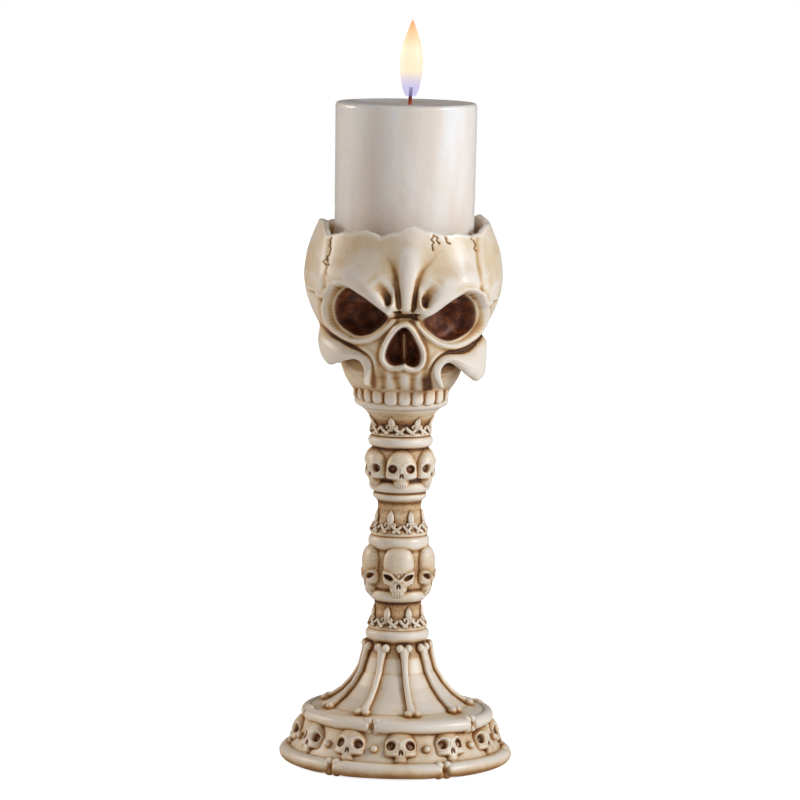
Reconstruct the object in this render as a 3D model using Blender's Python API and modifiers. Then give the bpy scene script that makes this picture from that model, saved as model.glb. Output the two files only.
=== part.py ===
"""Resin candlestick: a broken skull cup on a turned stem and a bone-ringed foot.

Metres, +Z up, face towards -Y, origin at the middle of the flat underside.
Angles round the axis are in degrees, from the front (-Y) towards +X.
"""
import math

import bmesh
import bpy
import numpy as np
from mathutils import Matrix, Vector

MM = 0.001
CLEARANCE = 0.0003

# The candle sets the size of everything round it: a pillar 76 mm across
CANDLE_RADIUS = 0.038
CANDLE_FOOT_RADIUS = 0.0372
CANDLE_HEIGHT = 0.101

# Levels up the axis
FOOT_BONE_RADIUS = 0.0044
CUP_FLOOR_Z = 0.2560
SKULL_FOOT_Z = 0.1965
CANDLE_BASE_Z = CUP_FLOOR_Z + CLEARANCE
CANDLE_TOP_Z = CANDLE_BASE_Z + CANDLE_HEIGHT

# The cup round the candle
SEAT_RADIUS = CANDLE_FOOT_RADIUS + 0.0018
CUP_MOUTH_RADIUS = CANDLE_RADIUS + 0.0052

# Foot and ledge. The band's wall slopes up from the ring of foot bones
FOOT_RING_RADIUS = 0.0587
BAND_SKULL_INSET = 0.0087
BEAD_INSET = 0.0049
FOOT_RING_Z = FOOT_BONE_RADIUS - 0.0001
LEDGE_RING_Z = 0.0268
LEDGE_BONE_RADIUS = 0.0041
FOOT_JOINTS = (-34.3, 25.8, 86.0, 146.0, 206.0, 266.0)
LEDGE_JOINTS = ((-14.6, 48.6), (49.0, 52.6), (110.0, 47.4), (170.0, 48.0), (228.0, 48.0),
                (284.0, 47.6))
BAND_SKULLS = 12
BAND_TURN = 3.0
BAND_SKULL_WIDTH = 0.0178
BAND_SKULL_HEIGHT = 0.0200
BEAD_RADIUS = 0.0021

# Cone bones, drums and collars
CONE_BONES = 9
CONE_BONE_TURN = 13.0
CONE_BONE_RADIUS = 0.0016
CALM_SKULLS = 6
CALM_SKULL_WIDTH = 0.0168
CALM_SKULL_HEIGHT = 0.0202
CALM_TURN = 2.5
ANGRY_SKULLS = 5
ANGRY_SKULL_WIDTH = 0.0182
ANGRY_SKULL_HEIGHT = 0.0272
ANGRY_TURN = 0.5
RIBBON_RADIUS = 0.00085
BONE_STATIONS = (0.0, 0.07, 0.2, 0.5, 0.8, 0.93, 1.0)

# Wick and flame stand a little to the right of the axis
WICK_X = 0.0019
WICK_RADIUS = 0.0011
WICK_DEPTH = 0.008
POOL_DEPTH = 0.0016
WICK_TOP_Z = CANDLE_TOP_Z + 0.0100
FLAME_BASE_Z = CANDLE_TOP_Z + 0.0033
FLAME_HEIGHT = 0.0408
FLAME_RADIUS = 0.0062

TURN_STEPS = 24
BODY_SHARE_KEPT = 0.60
FACE_SHARE_KEPT = 0.20
SHARP_ANGLE = 38.0

# The turned core, radius and height in mm, from the collar down to the foot
CORE = (
    (18.0, 206.0), (23.4, 201.4), (24.8, 199.4), (24.4, 196.8), (21.2, 193.6), (17.6, 189.8),
    (15.2, 184.0), (15.1, 180.6), (16.3, 179.4), (15.7, 178.0), (17.4, 176.6), (17.3, 173.6),
    (15.0, 172.0), (15.0, 160.0), (14.5, 153.8), (16.6, 152.2), (16.2, 148.6), (13.6, 147.2),
    (14.0, 144.0), (11.8, 141.2), (11.7, 136.5), (12.6, 131.0), (15.8, 125.2), (15.1, 123.4),
    (16.4, 121.8), (16.3, 118.2), (14.9, 116.6), (15.3, 104.0), (14.1, 94.4), (15.9, 92.4),
    (15.4, 89.8), (12.7, 87.6), (12.7, 80.6), (16.0, 74.0), (15.4, 72.3), (17.2, 70.6),
    (17.0, 67.8), (16.2, 67.0), (18.0, 56.5), (19.8, 50.0), (24.2, 42.8), (29.6, 36.8),
    (36.0, 31.9), (49.0, 29.0), (49.0, 24.6),
    (FOOT_RING_RADIUS / MM - 7.1, 18.0), (FOOT_RING_RADIUS / MM - 1.1, 8.0),
    (FOOT_RING_RADIUS / MM + 0.7, -2.0),
)

# Outer wall of the big skull in mm: height, then radius at the front, side and back
SKULL_WALL = (
    (196.5, 22.5, 21.5, 22.0), (200.0, 26.0, 24.2, 24.0), (204.0, 29.0, 27.0, 26.5),
    (209.0, 34.0, 30.5, 31.0), (215.0, 38.0, 32.5, 35.5), (222.0, 41.0, 35.0, 40.5),
    (230.0, 43.6, 40.0, 45.0), (238.0, 45.4, 45.0, 49.0), (246.0, 46.4, 49.2, 52.0),
    (255.0, 49.6, 52.4, 54.0), (265.0, 51.6, 53.7, 55.0), (277.0, 50.8, 52.2, 53.6),
    (286.0, 49.6, 49.2, 51.2), (296.0, 47.6, 44.8, 47.6),
)

# Height of the broken rim in mm at angles round the axis
RIM_LINE = (
    (-180, 292.0), (-150, 293.5), (-120, 291.5), (-95, 293.6), (-80, 294.6), (-68, 293.6),
    (-58, 287.6), (-48, 289.2), (-28, 291.2), (-20, 291.0), (-15, 288.6), (-8, 290.6), (5, 295.0),
    (14, 292.4), (24, 290.6), (40, 290.6), (50, 288.6), (58, 290.0), (72, 293.2), (90, 293.4),
    (112, 296.4), (135, 293.6), (158, 292.4), (180, 292.0),
)

# Lines on the face: how far right of the middle, height and half width, in mm
BROW_LEFT = ((-42.5, 257.0, 3.0), (-36.0, 266.5, 4.2), (-27.0, 264.0, 5.2), (-17.0, 256.6, 5.4),
             (-9.5, 249.0, 4.2))
BROW_RIGHT = ((43.5, 254.0, 3.0), (38.0, 263.5, 4.2), (29.0, 261.5, 5.2), (20.0, 254.6, 5.4),
              (12.0, 248.0, 4.2))
DRIP = ((3.5, 294.0, 9.0), (3.0, 280.0, 7.5), (2.2, 268.0, 4.8), (1.5, 251.5, 4.0))
POCKET_LEFT = ((-4.6, 266.0, 1.0), (-5.4, 258.0, 1.6), (-6.0, 252.6, 1.9))
POCKET_RIGHT = ((14.5, 262.0, 1.4), (10.5, 257.0, 2.0), (8.6, 252.8, 1.9))
# Ovals on the face: middle, half sizes and turn
SOCKETS = (((-25.6, 246.0), (16.6, 15.6), -8.0), ((27.0, 243.6), (16.2, 15.6), 8.0))
NOSE_LOBES = (((-4.0, 227.0), (4.9, 7.2), -14.0), ((5.4, 226.4), (4.9, 7.2), 14.0),
              ((1.4, 233.5), (4.6, 7.0), 0.0))
CHEEK_EDGE = ((-50, -46, -40, -33, -26, -20, -16, -13.5, -12, 0, 12, 15.5, 19, 24, 30, 36, 42, 46, 50),
              (219, 217.5, 215.4, 219.5, 220.5, 217, 211, 205, 199, 190, 199, 205, 211, 216, 217.5,
               214.5, 210.2, 213, 216))
LOW_JAW = ((190, 199, 205, 214, 222), (20.0, 24.5, 28.0, 32.0, 33.0))
# No pit in the face goes nearer to the axis than this, so that none opens into the cup
LEAST_RADIUS = ((190.0, 205.0, 248.0, 253.0, 275.0), (20.0, 27.0, 29.0, 42.5, 46.0))
# Small skulls, as shares of their height and width: half width and bulge going up
SMALL_HALF_WIDTH = ((-0.5, -0.38, -0.27, -0.18, -0.05, 0.06, 0.26, 0.42, 0.5),
                    (0.17, 0.26, 0.30, 0.47, 0.49, 0.48, 0.49, 0.36, 0.12))
SMALL_BULGE = ((-0.5, -0.38, -0.27, -0.18, -0.05, 0.06, 0.26, 0.42, 0.5),
               (0.16, 0.28, 0.30, 0.31, 0.34, 0.38, 0.36, 0.22, 0.04))


def clear_scene():
    """Takes out whatever the startup scene holds."""
    for item in list(bpy.data.objects):
        bpy.data.objects.remove(item)


def collection(name, hidden):
    """A collection of the scene, hidden from renders if it holds helpers."""
    made = bpy.data.collections.new(name)
    bpy.context.scene.collection.children.link(made)
    made.hide_render = hidden
    return made


def material(name, colour, roughness):
    """A plain Principled material."""
    made = bpy.data.materials.new(name)
    made.use_nodes = True
    shader = made.node_tree.nodes["Principled BSDF"]
    shader.inputs["Base Color"].default_value = (*colour, 1.0)
    shader.inputs["Roughness"].default_value = roughness
    return made


def helper(name, mesh):
    """A helper object, drawn as wires and left out of renders."""
    made = bpy.data.objects.new(name, mesh)
    made.hide_render = True
    made.display_type = "WIRE"
    CUTTERS.objects.link(made)
    return made


def settle(item, weld=2e-6):
    """Turns an object with modifiers, or a curve, into its plain mesh where it stands."""
    graph = bpy.context.evaluated_depsgraph_get()
    mesh = bpy.data.meshes.new_from_object(item.evaluated_get(graph))
    if weld:
        work = bmesh.new()
        work.from_mesh(mesh)
        bmesh.ops.remove_doubles(work, verts=work.verts, dist=weld)
        work.to_mesh(mesh)
        work.free()
    placed = item.matrix_world.copy()
    name = item.name
    bpy.data.objects.remove(item)
    made = helper(name, mesh)
    made.matrix_world = placed
    return made


def turned(name, profile, steps):
    """A solid turned on the axis: the profile starts and ends on it and runs down its side."""
    mesh = bpy.data.meshes.new(name)
    points = [(0.0, 0.0, profile[0][1])]
    points += [(radius, 0.0, height) for radius, height in profile]
    points += [(0.0, 0.0, profile[-1][1])]
    edges = [(i, i + 1) for i in range(len(points) - 1)]
    mesh.from_pydata(points, edges, [])
    made = helper(name, mesh)
    screw = made.modifiers.new("Turn", "SCREW")
    screw.axis = "Z"
    screw.steps = steps
    screw.render_steps = steps
    screw.use_merge_vertices = True
    screw.merge_threshold = 1e-6
    screw.use_normal_calculate = True
    return settle(made)


def ball(name, radii, place, segments=8, rings=5):
    """An ellipsoid of the given half sizes, set by a placing matrix."""
    work = bmesh.new()
    shape = place @ Matrix.Diagonal((*radii, 1.0))
    bmesh.ops.create_uvsphere(work, u_segments=segments, v_segments=rings, radius=1.0, matrix=shape)
    mesh = bpy.data.meshes.new(name)
    work.to_mesh(mesh)
    work.free()
    return helper(name, mesh)


def spike(name, foot, head, height, place, sides=6):
    """A cone or a tapered block with its middle at the placing matrix."""
    work = bmesh.new()
    bmesh.ops.create_cone(work, cap_ends=True, cap_tris=False, segments=sides, radius1=foot,
                          radius2=head, depth=height, matrix=place)
    mesh = bpy.data.meshes.new(name)
    work.to_mesh(mesh)
    work.free()
    return helper(name, mesh)


def tube(name, points, radii, sides=2):
    """A round rod along points, its radius changing from point to point, with closed ends."""
    data = bpy.data.curves.new(name, "CURVE")
    data.dimensions = "3D"
    data.bevel_depth = 1.0
    data.bevel_resolution = sides
    data.use_fill_caps = True
    spline = data.splines.new("POLY")
    spline.points.add(len(points) - 1)
    for point, place, radius in zip(spline.points, points, radii):
        point.co = (*place, 1.0)
        point.radius = radius
    made = bpy.data.objects.new(name, data)
    made.hide_render = True
    CUTTERS.objects.link(made)
    return settle(made)


def boolean(target, tools, operation):
    """Joins helpers to the target, or cuts them out of it, and then takes them away."""
    group = bpy.data.collections.new("tools")
    bpy.context.scene.collection.children.link(group)
    group.hide_render = True
    for tool in tools:
        group.objects.link(tool)
    step = target.modifiers.new(operation, "BOOLEAN")
    step.operation = operation
    step.operand_type = "COLLECTION"
    step.collection = group
    step.solver = "EXACT"
    step.use_self = False
    made = settle(target)
    for tool in tools:
        bpy.data.objects.remove(tool)
    bpy.data.collections.remove(group)
    return made


def copy_at(source, name, place):
    """A copy of a helper, set by a placing matrix."""
    made = helper(name, source.data.copy())
    made.matrix_world = place
    return made


def around(angle, radius, height, lean=0.0):
    """Placing matrix for relief on the wall: local -Y points outward, lean tips its top back."""
    turn = Matrix.Rotation(math.radians(angle), 4, "Z")
    shift = Matrix.Translation((0.0, -radius, height))
    return turn @ shift @ Matrix.Rotation(math.radians(-lean), 4, "X")


def polar(angle, radius, height):
    """A point at an angle from the front, a radius and a height."""
    turn = math.radians(angle)
    return Vector((radius * math.sin(turn), -radius * math.cos(turn), height))


def core_radius(height):
    """Radius of the turned core at a height."""
    rows = sorted((z * MM, r * MM) for r, z in CORE)
    return float(np.interp(height, [row[0] for row in rows], [row[1] for row in rows]))


def bone(name, points, outward, radius, flare, sides):
    """A long bone: a waisted rod whose flared ends are each notched into a pair of knobs."""
    last = len(points) - 1
    shape = [1.0, 1.12] + [0.94] * (last - 3) + [1.12, 1.0]
    made = tube(name, points, [radius * wide for wide in shape], sides)
    stations = [Vector(point) for point in points]
    for vertex in made.data.vertices:
        near = min(range(last + 1), key=lambda i: (vertex.co - stations[i]).length)
        if near not in (0, 1, last - 1, last):
            continue
        inner = 2 if near <= 1 else last - 2
        along = (stations[0 if near <= 1 else last] - stations[inner]).normalized()
        across = along.cross(outward[near]).normalized()
        side = (vertex.co - stations[near]).dot(across)
        share = min(1.0, abs(side) / radius)
        vertex.co += across * (side * flare)
        if near in (0, last):
            vertex.co += along * (radius * (0.9 * share - 0.5))
    made.data.update()
    return [made]


def small_skull(name, width, height, angry):
    """A skull in relief, as a closed sheet over rows and columns with a flat back.

    Half width and bulge follow two curves up the skull; eyes, nose and cheeks are pressed in.
    """
    rows = np.array([-0.5, -0.38, -0.27, -0.18, -0.05, 0.06, 0.26, 0.42, 0.5])
    cols = np.array([-1.0, -0.82, -0.5, -0.2, 0.0, 0.2, 0.5, 0.82, 1.0])
    v, s = np.meshgrid(rows, cols, indexing="ij")
    half = np.interp(v, SMALL_HALF_WIDTH[0], SMALL_HALF_WIDTH[1])
    bulge = np.interp(v, SMALL_BULGE[0], SMALL_BULGE[1]) * np.sqrt(1.0 - 0.94 * s ** 2)
    u = s * half
    slant = 0.30 if angry else 0.08
    eye_v = v + 0.06 - slant * (np.abs(u) - 0.22)
    eye = ((np.abs(u) - 0.22) / 0.17) ** 2 + (eye_v / (0.085 if angry else 0.115)) ** 2
    nose = (u / 0.09) ** 2 + ((v + 0.20) / 0.075) ** 2
    bulge = bulge - 0.17 * np.exp(-eye ** 2) - 0.07 * np.exp(-nose ** 2)
    front = np.stack([u * width, -bulge * width, v * height], axis=-1).reshape(-1, 3)
    back = front.copy()
    back[:, 1] = 0.25 * width
    count = len(cols)
    edge = [i for i in range(count)]
    edge += [(row + 1) * count - 1 for row in range(1, len(rows))]
    edge += [len(front) - 2 - i for i in range(count - 1)]
    edge += [row * count for row in range(len(rows) - 2, 0, -1)]
    points = np.concatenate([front, back[edge]]).tolist()
    faces = []
    for row in range(len(rows) - 1):
        for col in range(count - 1):
            low = row * count + col
            faces.append((low, low + 1, low + count + 1, low + count))
    for i, here in enumerate(edge):
        j = (i + 1) % len(edge)
        faces.append((edge[j], here, len(front) + i, len(front) + j))
    faces.append(tuple(len(front) + i for i in reversed(range(len(edge)))))
    mesh = bpy.data.meshes.new(name)
    mesh.from_pydata(points, [], faces)
    made = helper(name, mesh)
    return fix_normals(made)


def fix_normals(item):
    """Turns a closed helper's faces outward."""
    work = bmesh.new()
    work.from_mesh(item.data)
    bmesh.ops.remove_doubles(work, verts=work.verts, dist=2e-6)
    bmesh.ops.recalc_face_normals(work, faces=work.faces)
    work.to_mesh(item.data)
    work.free()
    return item


def skull_wall(angles, height):
    """Plain outer wall of the big skull in mm, blended round from front to side to back."""
    rows = np.array(SKULL_WALL)
    front, side, back = (np.interp(height, rows[:, 0], rows[:, i]) for i in (1, 2, 3))
    ahead = np.cos(np.radians(angles))
    end = np.where(ahead > 0, front, back)
    return side + (end - side) * ahead ** 2


def ease(low, high, value):
    """Smooth step from 0 at low to 1 at high."""
    share = np.clip((value - low) / (high - low), 0.0, 1.0)
    return share * share * (3.0 - 2.0 * share)


def near_line(x, z, stations):
    """Distance from each point of the face to a line of stations, and its local size."""
    best = np.full(np.shape(x), 1e9)
    size = np.zeros(np.shape(x))
    for (ax, az, a_size), (bx, bz, b_size) in zip(stations, stations[1:]):
        run = (bx - ax) ** 2 + (bz - az) ** 2
        share = np.clip(((x - ax) * (bx - ax) + (z - az) * (bz - az)) / run, 0.0, 1.0)
        away = np.hypot(x - ax - share * (bx - ax), z - az - share * (bz - az))
        closer = away < best
        best = np.where(closer, away, best)
        size = np.where(closer, a_size + share * (b_size - a_size), size)
    return best, size


def oval(x, z, middle, sizes, turn):
    """Share of the way out to an oval's edge: 0 at its middle, 1 on its edge."""
    angle = math.radians(turn)
    along = (x - middle[0]) * math.cos(angle) + (z - middle[1]) * math.sin(angle)
    across = (z - middle[1]) * math.cos(angle) - (x - middle[0]) * math.sin(angle)
    return np.sqrt((along / sizes[0]) ** 2 + (across / sizes[1]) ** 2)


def skull_face(angles, z):
    """Radius in mm of the carved face of the big skull.

    The plain wall, plus ridges for brows, drip and nose rim, less pits for sockets and nose.
    x is how far to the right of the middle a point of the plain wall stands.
    """
    wall = skull_wall(angles, z)
    x = wall * np.sin(np.radians(angles))
    ahead = ease(-0.05, 0.30, np.cos(np.radians(angles)))
    rise = np.zeros(np.shape(x))
    away, size = near_line(x, z, DRIP)
    rise = np.maximum(rise, 3.6 * np.exp(-(away / size) ** 2))
    for middle, sizes, turn in SOCKETS:
        out = oval(x, z, middle, sizes, turn)
        rise = np.maximum(rise, 1.6 * np.exp(-((out - 1.10) / 0.14) ** 2) * (z < middle[1] + 6.0))
        rise = rise - 3.0 * (1.0 - ease(0.86, 1.02, out)) - 13.0 * (1.0 - ease(0.60, 0.88, out))
    for line in (BROW_LEFT, BROW_RIGHT):
        away, size = near_line(x, z, line)
        lid = np.exp(-(away / size) ** 4)
        rise = rise + (4.2 - rise) * lid
    for line in (POCKET_LEFT, POCKET_RIGHT):
        away, size = near_line(x, z, line)
        rise = rise - 5.5 * np.exp(-(away / size) ** 2)
    nose = np.minimum.reduce([oval(x, z, *lobe) for lobe in NOSE_LOBES])
    rise = rise + 2.6 * np.exp(-((nose - 1.25) / 0.42) ** 2)
    rise = rise - 9.5 * (1.0 - ease(0.72, 1.02, nose))
    # The cheekbones stand off the jaw and end in an edge below the sockets
    edge = np.interp(x, CHEEK_EDGE[0], CHEEK_EDGE[1])
    outward = ease(11.0, 16.0, np.abs(x))
    plate = np.where(np.abs(angles) < 79, 46.4, 0.0)
    cheek = ease(-1.4, 1.6, z - edge) * (1.0 - ease(236.0, 246.0, z))
    cheek = cheek * ease(24.0, 36.0, np.abs(x)) * (1.0 - ease(74.0, 82.0, np.abs(angles)))
    under = outward * (1.0 - ease(-2.0, 0.6, z - edge)) * (1.0 - ease(78.0, 92.0, np.abs(angles)))
    low = np.interp(z, LOW_JAW[0], LOW_JAW[1])
    carved = wall + rise * ahead
    carved = carved + np.maximum(plate - carved, 0.0) * cheek
    carved = carved + np.minimum(low - carved, 0.0) * under
    return np.maximum(carved, np.interp(z, LEAST_RADIUS[0], LEAST_RADIUS[1]))


def big_skull_blank():
    """The cup of the skull as one closed sheet: up the carved wall, over the rim, down inside.

    No primitive has this face or this broken rim, so its faces are laid on a fine grid of
    angles and rows, and then lightened.
    """
    angles = np.concatenate([np.arange(-96, 96, 2.0), np.arange(96, 264, 8.0)])
    wrapped = np.where(angles > 180, angles - 360, angles)
    line = np.array(RIM_LINE, dtype=float)
    rim = np.interp(wrapped, line[:, 0], line[:, 1])
    rows = []
    for step in np.linspace(0.0, 1.0, 64):
        height = SKULL_FOOT_Z / MM + step * (rim - 0.8 - SKULL_FOOT_Z / MM)
        rows.append((skull_face(wrapped, height) * MM, height * MM))
    wall = skull_face(wrapped, rim) * MM
    for inset, drop in ((0.0016, 0.0), (0.0034, 0.0006)):
        rows.append((wall - inset, rim * MM - drop))
    mouth = np.minimum(CUP_MOUTH_RADIUS, wall - 0.0042)
    rows.append((mouth, rim * 0.0 + CUP_FLOOR_Z + 0.019))
    rows.append((mouth * 0.0 + SEAT_RADIUS, rim * 0.0 + CUP_FLOOR_Z))
    points = []
    for radius, height in rows:
        x = radius * np.sin(np.radians(angles))
        y = -radius * np.cos(np.radians(angles))
        points.append(np.stack([x, y, height], axis=1))
    points = np.concatenate(points)
    count = len(angles)
    faces = []
    for row in range(len(rows) - 1):
        for i in range(count):
            j = (i + 1) % count
            faces.append((row * count + i, row * count + j, (row + 1) * count + j,
                          (row + 1) * count + i))
    low = len(points)
    points = np.concatenate([points, [(0.0, 0.0, SKULL_FOOT_Z), (0.0, 0.0, CUP_FLOOR_Z)]])
    last = (len(rows) - 1) * count
    for i in range(count):
        j = (i + 1) % count
        faces.append((low, j, i))
        faces.append((low + 1, last + i, last + j))
    mesh = bpy.data.meshes.new("skull")
    mesh.from_pydata(points.tolist(), [], faces)
    return lighten(helper("skull", mesh), FACE_SHARE_KEPT)


def split_faces(item):
    """Cuts a helper's faces into triangles.

    Two faces that share two far corners can be given the same diagonal, which would leave
    four triangles on one edge, so such a face is cut by the other rule.
    """
    work = bmesh.new()
    work.from_mesh(item.data)
    for _ in range(4):
        trial = work.copy()
        bmesh.ops.triangulate(trial, faces=trial.faces)
        shared = [set(v.index for v in edge.verts) for edge in trial.edges
                  if len(edge.link_faces) > 2]
        trial.free()
        if not shared:
            break
        awkward = []
        for pair in shared:
            holding = [face for face in work.faces if len(face.verts) > 3
                       and pair <= set(v.index for v in face.verts)]
            awkward += sorted(holding, key=lambda face: len(face.verts))[:1]
        bmesh.ops.triangulate(work, faces=list(set(awkward)), ngon_method="EAR_CLIP")
    bmesh.ops.triangulate(work, faces=work.faces)
    work.to_mesh(item.data)
    work.free()
    return item


def lighten(item, share):
    """Keeps a share of a helper's triangles, spending them where the shape turns most."""
    step = item.modifiers.new("Lighten", "DECIMATE")
    step.decimate_type = "COLLAPSE"
    step.ratio = share
    step.use_collapse_triangulate = True
    return settle(item, weld=0.0)


def big_skull():
    """The skull cup with its tooth row standing on the collar."""
    teeth = []
    for angle, wide in TEETH:
        place = Matrix.Rotation(math.radians(angle), 4, "Z")
        place = place @ Matrix.Translation((0.0, -0.0262, 0.2018))
        teeth.append(ball("tooth", (wide * MM, 0.0034, 0.0048), place, segments=6, rings=5))
    return boolean(big_skull_blank(), teeth, "UNION")


# Angle of each tooth from the front and its half width in mm
TEETH = ((-67, 2.4), (-54, 2.7), (-41, 2.8), (-27.3, 3.3), (-11.6, 3.8), (3.4, 3.8), (18.2, 3.6),
         (33.6, 3.7), (49.6, 3.4), (63.5, 2.7))


def foot_rings():
    """The ring of long bones round the foot and the smaller one round the ledge."""
    parts = []
    for i, start in enumerate(FOOT_JOINTS):
        end = FOOT_JOINTS[(i + 1) % len(FOOT_JOINTS)]
        span = (end - start) % 360.0
        gap = 2.6
        turns = start + gap + (span - 2.0 * gap) * np.array(BONE_STATIONS)
        points = [polar(turn, FOOT_RING_RADIUS, FOOT_RING_Z) for turn in turns]
        outward = [polar(turn, 1.0, 0.0) for turn in turns]
        parts += bone("foot_bone", points, outward, FOOT_BONE_RADIUS, 0.12, 2)
    for i, (start, first) in enumerate(LEDGE_JOINTS):
        end, last = LEDGE_JOINTS[(i + 1) % len(LEDGE_JOINTS)]
        span = (end - start) % 360.0
        gap = 3.0
        share = (gap + (span - 2.0 * gap) * np.array(BONE_STATIONS)) / span
        turns = start + span * share
        radii = (first + (last - first) * share) * MM
        points = [polar(turn, radius, LEDGE_RING_Z) for turn, radius in zip(turns, radii)]
        outward = [polar(turn, 1.0, 0.0) for turn in turns]
        parts += bone("ledge_bone", points, outward, LEDGE_BONE_RADIUS, 0.12, 2)
    return parts


def band_relief():
    """Twelve skulls round the sloping band with a bead between each two."""
    model = small_skull("band_skull", BAND_SKULL_WIDTH, BAND_SKULL_HEIGHT, False)
    parts = []
    for i in range(BAND_SKULLS):
        turn = BAND_TURN + i * 360.0 / BAND_SKULLS
        place = around(turn, FOOT_RING_RADIUS - BAND_SKULL_INSET, 0.0150, 34.0)
        parts.append(copy_at(model, "band_skull", place))
        bead = around(turn + 180.0 / BAND_SKULLS, FOOT_RING_RADIUS - BEAD_INSET, 0.0152, 33.0)
        parts.append(ball("bead", (BEAD_RADIUS,) * 3, bead, segments=5, rings=4))
    bpy.data.objects.remove(model)
    return parts


def cone_relief():
    """Nine long bones down the cone."""
    parts = []
    heights = (0.0648, 0.0625, 0.0590, 0.0480, 0.0395, 0.0365, 0.0345)
    for i in range(CONE_BONES):
        turn = CONE_BONE_TURN + i * 360.0 / CONE_BONES
        radii = [core_radius(z) + 0.9 * CONE_BONE_RADIUS for z in heights]
        points = [polar(turn, radius, z) for radius, z in zip(radii, heights)]
        outward = [polar(turn, 1.0, 0.35) for _ in heights]
        parts += bone("cone_bone", points, outward, CONE_BONE_RADIUS, 1.1, 1)
    return parts


def drum_relief():
    """Calm skulls round the upper drum and angry ones round the lower."""
    calm = small_skull("calm_skull", CALM_SKULL_WIDTH, CALM_SKULL_HEIGHT, False)
    angry = small_skull("angry_skull", ANGRY_SKULL_WIDTH, ANGRY_SKULL_HEIGHT, True)
    parts = []
    for i in range(CALM_SKULLS):
        turn = CALM_TURN + i * 360.0 / CALM_SKULLS
        parts.append(copy_at(calm, "calm_skull", around(turn, 0.0139, 0.1607)))
    for i in range(ANGRY_SKULLS):
        turn = ANGRY_TURN + i * 360.0 / ANGRY_SKULLS
        parts.append(copy_at(angry, "angry_skull", around(turn, 0.0139, 0.1052)))
    bpy.data.objects.remove(calm)
    bpy.data.objects.remove(angry)
    return parts


def collar_relief():
    """Fleur-de-lis tips above a braid of crossing ribbons on each of the three necks."""
    parts = []
    for count, turn, tip, low in ((7, -18.0, 0.1895, 0.1805), (7, -21.5, 0.1380, 0.1265),
                                  (7, -25.0, 0.0865, 0.0755)):
        step = 360.0 / count
        middle = low + 0.46 * (tip - low)
        for i in range(count):
            here = turn + i * step
            leaf_z = 0.5 * (tip + middle)
            leaf = around(here, core_radius(leaf_z) + 0.0002, leaf_z)
            parts.append(ball("leaf", (0.0017, 0.0011, 0.5 * (tip - middle)), leaf, segments=4,
                              rings=4))
        for i in range(count):
            here = turn + (i + 0.5) * step
            points = []
            for share in (-1.0, 1.0):
                z = low + (0.5 + 0.5 * share) * (middle - low)
                radius = core_radius(z) + 0.0003
                points.append(polar(here - share * step * 0.38, radius, z))
            parts.append(tube("ribbon", points, (RIBBON_RADIUS, RIBBON_RADIUS), 0))
    return parts


def candlestick():
    """The whole casting: the core with every relief joined on, the skull, and a flat underside."""
    body = turned("core", [(r * MM, z * MM) for r, z in CORE], TURN_STEPS)
    for group in (collar_relief(), drum_relief(), cone_relief(), band_relief(), foot_rings()):
        body = boolean(body, group, "UNION")
    body = lighten(split_faces(body), BODY_SHARE_KEPT)
    body = boolean(body, [big_skull()], "UNION")
    work = bmesh.new()
    size = Matrix.Translation((0.0, 0.0, -0.01)) @ Matrix.Diagonal((0.2, 0.2, 0.02, 1.0))
    bmesh.ops.create_cube(work, size=1.0, matrix=size)
    mesh = bpy.data.meshes.new("floor_cut")
    work.to_mesh(mesh)
    work.free()
    return split_faces(boolean(body, [helper("floor_cut", mesh)], "DIFFERENCE"))


def candle():
    """The pillar of wax with a shallow melt pool and a well for the wick."""
    top = CANDLE_TOP_Z
    profile = ((CANDLE_RADIUS - 0.0055, top - POOL_DEPTH),
               (CANDLE_RADIUS - 0.0030, top - 0.4 * POOL_DEPTH), (CANDLE_RADIUS - 0.0016, top),
               (CANDLE_RADIUS - 0.0006, top - 0.0004), (CANDLE_RADIUS, top - POOL_DEPTH),
               (CANDLE_FOOT_RADIUS, CANDLE_BASE_Z + 0.0015),
               (CANDLE_FOOT_RADIUS - 0.0012, CANDLE_BASE_Z))
    wax = turned("candle_body", profile, 64)
    well_low = top - POOL_DEPTH - WICK_DEPTH - CLEARANCE
    height = WICK_DEPTH + 0.01
    place = Matrix.Translation((WICK_X, 0.0, well_low + 0.5 * height))
    well = spike("well", WICK_RADIUS + 0.0004, WICK_RADIUS + 0.0004, height, place, sides=16)
    return boolean(wax, [well], "DIFFERENCE")


def wick():
    """The charred wick, standing in its well."""
    low = CANDLE_TOP_Z - POOL_DEPTH - WICK_DEPTH
    levels = (low, CANDLE_TOP_Z + 0.002, CANDLE_TOP_Z + 0.006, WICK_TOP_Z)
    points = [Vector((WICK_X, 0.0, z)) for z in levels]
    return tube("wick_rod", points, (WICK_RADIUS, WICK_RADIUS, WICK_RADIUS, 0.7 * WICK_RADIUS), 3)


def flame():
    """The flame: a tall drop with an open hollow round the wick."""
    base = FLAME_BASE_Z
    hollow = WICK_RADIUS + CLEARANCE + 0.0003
    shape = ((0.03, 1.0), (0.16, 0.93), (0.38, 0.82), (0.66, 0.69), (0.9, 0.57), (1.0, 0.46),
             (0.98, 0.34), (0.88, 0.2), (0.74, 0.08), (0.60, 0.0))
    outside = [(share * FLAME_RADIUS, base + part * FLAME_HEIGHT) for share, part in shape]
    inside = [(hollow + 0.0004, base), (hollow, base + 0.002), (hollow, WICK_TOP_Z + 0.001)]
    made = turned("flame_body", outside + inside + [(0.0005, WICK_TOP_Z + 0.0024)], 24)
    made.location = (WICK_X, 0.0, 0.0)
    bpy.context.view_layer.update()
    return made


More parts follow.
